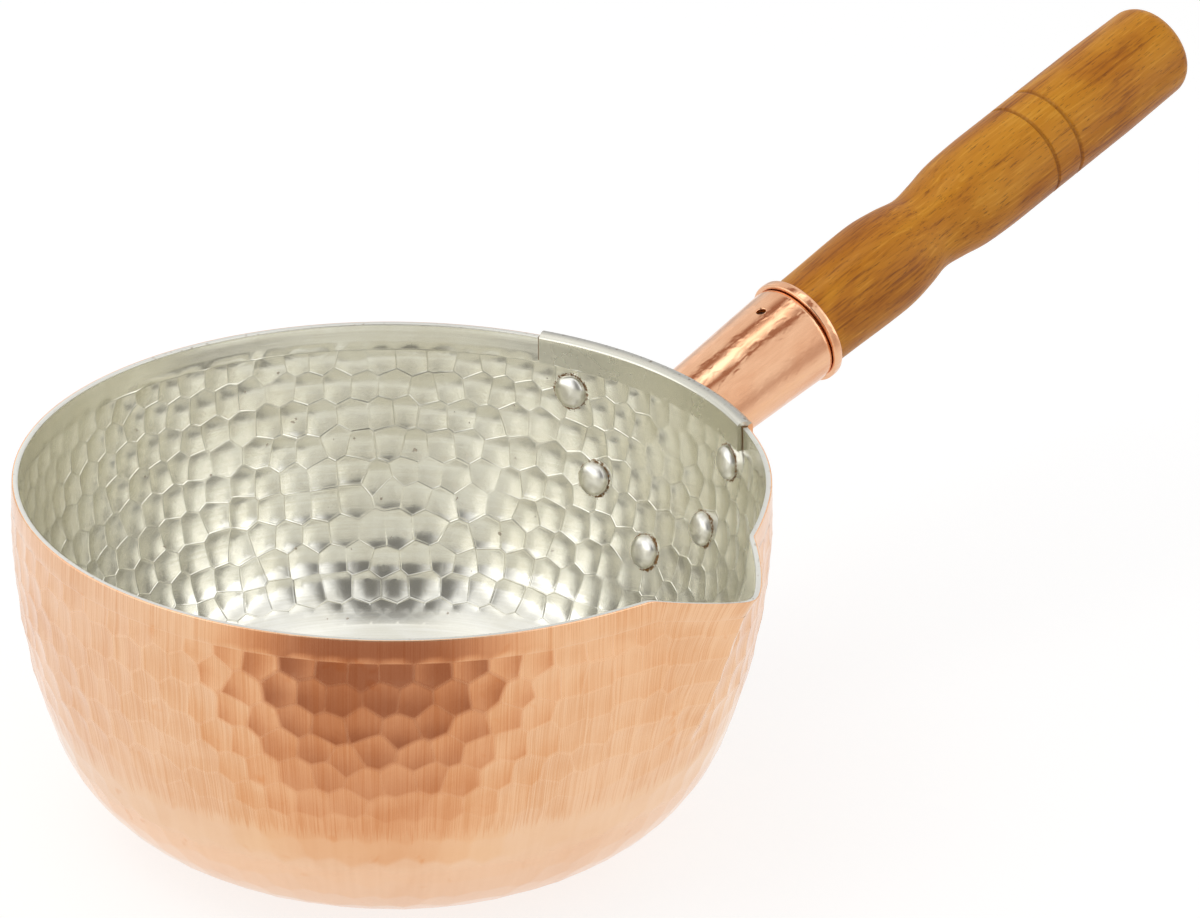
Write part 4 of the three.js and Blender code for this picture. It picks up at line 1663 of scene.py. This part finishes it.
@dataclass(frozen=True)
class WoodGrip:
    """The turned wooden handle, from the tenon in the socket to its rounded end.

    The neck's points are radius and station pairs in millimetres.
    """

    line: HandleLine
    ferrule: Ferrule
    tenon_start: float = 106 * MM
    tenon_gap: float = 0.1 * MM
    seat_radius: float = 12.5 * MM
    seat_gap: float = 0.05 * MM
    neck: tuple[tuple[float, float], ...] = (
        (12.7, 148.1), (12.9, 157), (13.3, 170), (13.25, 178.5), (12.3, 186), (11.05, 193.2),
        (11.8, 200.5), (13, 208), (13.48, 218), (13.5, 229))
    barrel_radius: float = 13.5 * MM
    barrel_start: float = 229.5 * MM
    barrel_end: float = 265 * MM
    grooves: tuple[float, ...] = (233.8 * MM, 243 * MM)
    groove_width: float = 1.3 * MM
    groove_depth: float = 0.5 * MM
    end: float = 289.9 * MM
    end_radius: float = 13.1 * MM
    end_edge: float = 5.2 * MM
    end_crown: float = 0.25 * MM
    sides: int = 128

    def neck_curve(self) -> np.ndarray:
        """A smooth curve through the neck's points: each span is a Catmull-Rom cubic.

        Returns:
            Radius and station pairs.
        """
        knots = np.array(self.neck) * MM
        padded = np.concatenate([knots[:1], knots, knots[-1:]])
        share = np.linspace(0, 1, 12, endpoint=False)[:, None, None]
        before, start, stop, after = padded[:-3], padded[1:-2], padded[2:-1], padded[3:]
        slope, next_slope = (stop - before) / 2, (after - start) / 2
        square, cube = share ** 2, share ** 3
        curve = ((2 * cube - 3 * square + 1) * start + (cube - 2 * square + share) * slope
                 + (3 * square - 2 * cube) * stop + (cube - square) * next_slope)
        return np.concatenate([curve.transpose(1, 0, 2).reshape(-1, 2), knots[-1:]])

    def barrel(self) -> np.ndarray:
        """The even barrel, with a round-bottomed groove at each of its two stations.

        Returns:
            Radius and station pairs.
        """
        station = np.linspace(self.barrel_start, self.barrel_end, 130)
        radius = np.full(station.shape, self.barrel_radius)
        for groove in self.grooves:
            share = np.clip(np.abs(station - groove) / (self.groove_width / 2), 0, 1)
            radius = radius - self.groove_depth * (1 - share ** 2) ** 0.7
        return np.stack([radius, station], -1)

    def far_end(self) -> np.ndarray:
        """The end behind the barrel: a slight taper, a quarter-round edge and a faintly crowned face.

        Returns:
            Radius and station pairs.
        """
        edge_start = self.end - self.end_edge
        share = np.linspace(0, 1, 8)[1:-1]
        taper = np.stack([self.barrel_radius + (self.end_radius - self.barrel_radius) * share,
                          self.barrel_end + (edge_start - self.barrel_end) * share], -1)
        turn = np.linspace(0, math.pi / 2, 12)
        edge = np.stack([self.end_radius - self.end_edge * (1 - np.cos(turn)),
                         edge_start + self.end_edge * np.sin(turn)], -1)
        edge[-1, 1] -= self.end_crown
        face = np.linspace(7 * MM, 0.6 * MM, 5)
        crown = self.end_crown * (face / (self.end_radius - self.end_edge)) ** 2
        return np.concatenate([taper, edge, np.stack([face, self.end - crown], -1)])

    def profile(self) -> np.ndarray:
        """The whole profile: tenon, collar seat, neck, grooved barrel and far end.

        Returns:
            Radius and station pairs.
        """
        ferrule = self.ferrule
        tenon = np.array([self.tenon_start, ferrule.mouth + self.tenon_gap])
        tenon = np.stack([ferrule.radius(tenon) - ferrule.sheet - self.tenon_gap, tenon], -1)
        seat = np.array([[self.seat_radius, tenon[1, 1]],
                         [self.seat_radius, ferrule.collar_end + self.seat_gap]])
        tip = [[0.5 * MM, self.tenon_start]]
        return np.concatenate([tip, tenon, seat, self.neck_curve(), self.barrel(), self.far_end()])

    def build(self) -> None:
        """Makes the handle; its points carry how near they lie to the middle of a groove."""
        profile = self.profile()
        near = np.min(np.abs(profile[:, 1:] - np.array(self.grooves)), axis=1)
        values = {"groove": fall(near, 0.2 * MM, 0.75 * MM)}
        surface = Surface.woven(self.line.turned(profile, self.sides), Ends.POLES, values)
        add_piece(surface, "wooden_handle_grip", VarnishedWood().material(self.line),
                  "wooden_handle", sharp=35 * DEGREE)


@dataclass(frozen=True)
class Nail:
    """The nail that pins the wood in the socket.

    The crown's points are radius and depth pairs in millimetres, from the edge to the middle.
    """

    line: HandleLine
    ferrule: Ferrule
    radius: float = 0.95 * MM
    length: float = 18 * MM
    tip: float = 3 * MM
    tip_radius: float = 0.05 * MM
    sink: float = 0.9 * MM
    crown: tuple[tuple[float, float], ...] = ((0.95, 0.12), (0.85, 0.03), (0.5, -0.04), (0.08, -0.06))
    sides: int = 32

    def build(self) -> None:
        """Makes the nail: a shank with a drawn point and a slightly domed top."""
        top = self.ferrule.radius(self.ferrule.hole_station) - self.sink
        shank = [[self.tip_radius, self.length], [self.radius, self.length - self.tip]]
        profile = np.concatenate([shank, np.array(self.crown) * MM])
        profile[:, 1] = top - profile[:, 1]
        grid = self.line.upright(profile, self.ferrule.hole_station, self.sides)
        add_piece(Surface.woven(grid, Ends.POLES), "handle_nail_shank", DarkIron().material(),
                  "handle_nail")


@dataclass(frozen=True)
class PhotoCamera:
    """The camera, placed from the rim's ellipse in the picture."""

    distance: float = 1281 * MM
    azimuth: float = -41.3 * DEGREE
    elevation: float = 24.8091 * DEGREE
    pan: float = 2.2337 * DEGREE
    tilt: float = 0.1359 * DEGREE
    roll: float = 0.2356 * DEGREE
    lens: float = 159.187
    sensor: float = 36.0

    def build(self, target: Vector) -> None:
        """Aims at the middle of the rim, then turns by the pan, the tilt and the roll.

        Args:
            target: The middle of the rim.
        """
        toward = Vector((-math.sin(self.azimuth), math.cos(self.azimuth), 0)) * math.cos(self.elevation)
        forward = toward - Vector((0, 0, math.sin(self.elevation)))
        right = forward.cross(Vector((0, 0, 1))).normalized()
        place = target - forward * self.distance
        pan = Matrix.Rotation(-self.pan, 3, right.cross(forward))
        forward, right = pan @ forward, pan @ right
        forward = Matrix.Rotation(self.tilt, 3, right) @ forward
        above = right.cross(forward)
        side = right * math.cos(self.roll) + above * math.sin(self.roll)
        above = above * math.cos(self.roll) - right * math.sin(self.roll)
        data = bpy.data.cameras.new("photo_camera")
        data.lens, data.sensor_width, data.sensor_fit = self.lens, self.sensor, "HORIZONTAL"
        data.clip_start, data.clip_end = 0.05, 50.0
        camera = placed("photo_camera", data)
        camera.matrix_world = Matrix((side, above, -forward)).transposed().to_4x4()
        camera.location = place
        bpy.context.scene.camera = camera


@dataclass(frozen=True)
class Lamp:
    """A soft square lamp that lights the pan and isn't mirrored in it."""

    name: str
    place: Triple
    size: float
    power: float
    target: Triple = (0.06, 0.0, 0.05)

    def build(self) -> None:
        """Makes the lamp and aims it."""
        data = bpy.data.lights.new(self.name, "AREA")
        data.shape, data.size, data.energy = "SQUARE", self.size, self.power
        lamp = placed(self.name, data)
        lamp.location = self.place
        aim = Vector(self.target) - Vector(self.place)
        lamp.rotation_euler = aim.to_track_quat("-Z", "Y").to_euler()
        lamp.visible_glossy = False


@dataclass(frozen=True)
class Studio:
    """Pale floor, white surroundings, soft lamps, and cards round the pan that only reflections see.

    Turns of the cards are in degrees from the camera's side, positive to the right of the picture,
    and lifts are in degrees above the floor.
    """

    camera: PhotoCamera
    line: HandleLine
    lamps: tuple[Lamp, ...] = (
        Lamp("key_lamp", (-0.9, 0.5, 1.1), 1.1, 2.2),
        Lamp("fill_lamp", (0.9, -0.9, 0.9), 0.9, 1.1),
        Lamp("top_lamp", (-0.5, 0.1, 1.6), 1.2, 4.5))
    ambient: float = 0.56
    floor_size: float = 6.0
    floor_level: float = -0.2 * MM
    floor_grey: float = 0.8
    floor_shadow: float = 0.36
    floor_glow: float = 0.745
    dark_floor: Triple = (0.39, 0.21, 0.145)
    dark_room: Triple = (0.13, 0.125, 0.115)
    dark_from: float = 88 * MM
    dark_fade: float = 150 * MM
    dark_power: Triple = (1.38, 0.8, 0.52)
    dark_turn: float = -4.5
    room_reach: float = 0.62
    strip_reach: float = 0.15
    strip_station: float = 197 * MM
    strip_half: float = 50 * MM
    strip_sight: float = 0.19
    glossy_bounces: int = 10

    def world(self) -> None:
        """White surroundings for what the camera sees and what metal reflects, softer light for the rest."""
        world = bpy.data.worlds.new("studio")
        bpy.context.scene.world = world
        paint = Paint(world)
        lit, bright = (paint.wire("ShaderNodeBackground", sockets={"Color": WHITE, "Strength": strength})
                       for strength in (self.ambient, 1.0))
        paint.finished(paint.either(paint.seen(), lit, bright))

    def floor(self) -> None:
        """A wide pale floor that keeps the pan's shadow and is white elsewhere."""
        corners = [(-1, -1), (1, -1), (1, 1), (-1, 1)]
        half = self.floor_size / 2
        mesh = bpy.data.meshes.new("floor")
        mesh.from_pydata([(across * half, along * half, self.floor_level) for across, along in corners],
                         [], [(0, 1, 2, 3)])
        floor = placed("floor", mesh)
        paint = Paint.material("pale_floor")
        plain, matt = (paint.wire("ShaderNodeBsdfDiffuse", sockets={"Color": (grey, grey, grey, 1)})
                       for grey in (self.floor_grey, self.floor_shadow))
        glow = paint.wire("ShaderNodeEmission", sockets={"Color": WHITE, "Strength": self.floor_glow})
        shown = paint.wire("ShaderNodeAddShader", sockets={0: matt, 1: glow})
        floor.data.materials.append(paint.finished(paint.either(paint.seen(), plain, shown)))

    def card(self, name: str, grid: np.ndarray, colour: np.ndarray, sight: float = 9.0) -> None:
        """A studio card that only reflections see.

        Args:
            name: Name of the card.
            grid: Its points, as rows by columns by 3.
            colour: Red, green and blue at each point.
            sight: Distance beyond which it isn't seen.
        """
        rows, columns, _ = grid.shape
        index = np.arange(rows * columns).reshape(rows, columns)
        quads = np.stack([index[:-1, :-1], index[:-1, 1:], index[1:, 1:], index[1:, :-1]], -1)
        parts = ("red", "green", "blue")
        values = {part: colour[..., number].ravel() for number, part in enumerate(parts)}
        shape = Surface(grid.reshape(-1, 3), quads.reshape(-1, 4), values=values)
        card = placed(name, shape.mesh(name, math.pi))
        paint = Paint.material(name)
        shown = paint.vector(*(paint.value(part) for part in parts))
        glow = paint.wire("ShaderNodeEmission", sockets={"Color": shown, "Strength": 1.0})
        clear = paint.wire("ShaderNodeBsdfTransparent")
        far = paint.wire("ShaderNodeLightPath", output="Ray Length").rise(0.95 * sight, sight)
        card.data.materials.append(paint.finished(paint.either(far, glow, clear)))
        card.visible_camera = card.visible_diffuse = card.visible_shadow = False

    def ring(self, reach: np.ndarray, height: np.ndarray, turn: np.ndarray) -> np.ndarray:
        """Points at a reach and a height round the pan, by their turns."""
        azimuth = self.camera.azimuth - math.pi / 2 + turn * DEGREE
        return round_axis(reach, height, azimuth, np.zeros(3), np.eye(3))

    def floor_card(self) -> None:
        """The brown floor on the camera's side, which the outside of the bowl shows.

        The card runs out along the floor from just beyond the bowl and curves up a little at its far
        edge. It is darkest straight ahead, and a faint shade goes on to the right. Near the bowl it
        is warmer: each part of white falls to the dark colour with its own power of the shade.
        """
        way = np.linspace(0, 1, 60)[:, None]
        turn = np.linspace(-105, 125, 116)[None, :]
        lift = 14 * np.clip((way - 0.7) / 0.3, 0, 1)
        reach = self.dark_from + (self.room_reach - self.dark_from) * np.clip(way / 0.7, 0, 1)
        near = np.clip((reach - self.dark_from) / self.dark_fade, 0, 1) ** 0.62
        half = 27 + 21 * near
        ahead = fall(np.abs(turn - self.dark_turn) / half, 0.22, 1.0)
        aside = 0.02 + 0.04 * (turn > 0) + 0.08 * bell(turn, 75, 14)
        aside = aside * fall(np.abs(turn - 20), 60, 95) * near
        shade = near * fall(lift, 5, 14) * (ahead + (1 - ahead) * aside)
        colour = 1 - (1 - np.array(self.dark_floor)) * shade[..., None] ** np.array(self.dark_power)
        height = 0.6 * MM + reach * np.tan(lift * DEGREE)
        self.card("floor_card", self.ring(reach, height, turn), colour)

    def room_card(self) -> None:
        """The room round the pan, which the tin shows.

        It is a dome of white with a dark patch behind the camera, two brighter sides, a dimmer foot at
        the back, a brighter crown, and upright bands of light and shade.
        """
        lift = np.linspace(2, 82, 81)[:, None]
        turn = np.linspace(-180, 180, 181)[None, :]
        aside = np.abs(turn - 2)
        patch = fall(aside, 10, 38) * smooth_step(lift, 3, 11) * fall(lift, 62, 76)
        side = smooth_step(aside, 30, 55) * fall(aside, 95, 125) * fall(lift, 30, 55)
        foot = smooth_step(aside, 100, 130) * fall(lift, 10, 26)
        crown = smooth_step(lift, 55, 66) * (1 - patch)
        bands = (np.cos(7 * turn * DEGREE + 1) + np.cos(11 * turn * DEGREE)) * fall(lift, 40, 60)
        fade = smooth_step(lift, 2, 8) * fall(lift, 76, 82)
        level = fade * (0.95 * side + 0.22 * crown - 0.16 * foot + 0.1 * bands * (1 - patch))
        dark = (1 - np.array(self.dark_room)) * (0.94 * patch)[..., None]
        reach, height = (self.room_reach * share(lift * DEGREE) for share in (np.cos, np.sin))
        self.card("room_card", self.ring(reach, height, turn), 1 + level[..., None] - dark)

    def socket_card(self) -> None:
        """A card bent round the handle: dark strips beside a bright one, seen only in the socket.

        The strips fade out sideways like bell curves of the angle round the handle's axis.
        """
        share = np.linspace(-1, 1, 9)[:, None]
        angle = np.linspace(-150, 60, 106)[None, :]
        dark = 1.1 * bell(angle, 24, 9) + 1.25 * bell(angle, -22, 6.5) + 0.5 * bell(angle, -106, 16)
        dark = np.minimum(dark, 1)[..., None] * (1 - np.array(self.dark_floor))
        colour = 1 + 1.3 * bell(angle, 2, 8)[..., None] - dark + np.zeros((len(share), 1, 1))
        station = self.strip_station + self.strip_half * share
        grid = self.line.points(self.strip_reach, station, angle * DEGREE)
        self.card("socket_card", grid, colour, self.strip_sight)

    def build(self) -> None:
        """Sets up the whole studio."""
        self.world()
        self.floor()
        self.floor_card()
        self.room_card()
        for lamp in self.lamps:
            lamp.build()
        self.socket_card()
        # Light goes to and fro between the bowl's walls, so its reflections are followed further.
        bpy.context.scene.cycles.glossy_bounces = self.glossy_bounces


def main() -> None:
    """Builds the pan and the studio."""
    logging.basicConfig(level=logging.INFO, format="%(name)s %(message)s")
    bpy.context.scene.view_settings.view_transform = "Standard"
    form, line = BowlForm(), HandleLine()
    bracket = Bracket(form)
    ferrule = Ferrule(line, form, bracket)
    Bowl(form, bracket).build()
    bracket.build()
    Rivets(form, bracket).build()
    ferrule.build()
    WoodGrip(line, ferrule).build()
    Nail(line, ferrule).build()
    camera = PhotoCamera()
    camera.build(Vector((0, 0, form.rim_height)))
    Studio(camera, line).build()


if __name__ == "__main__":
    main()
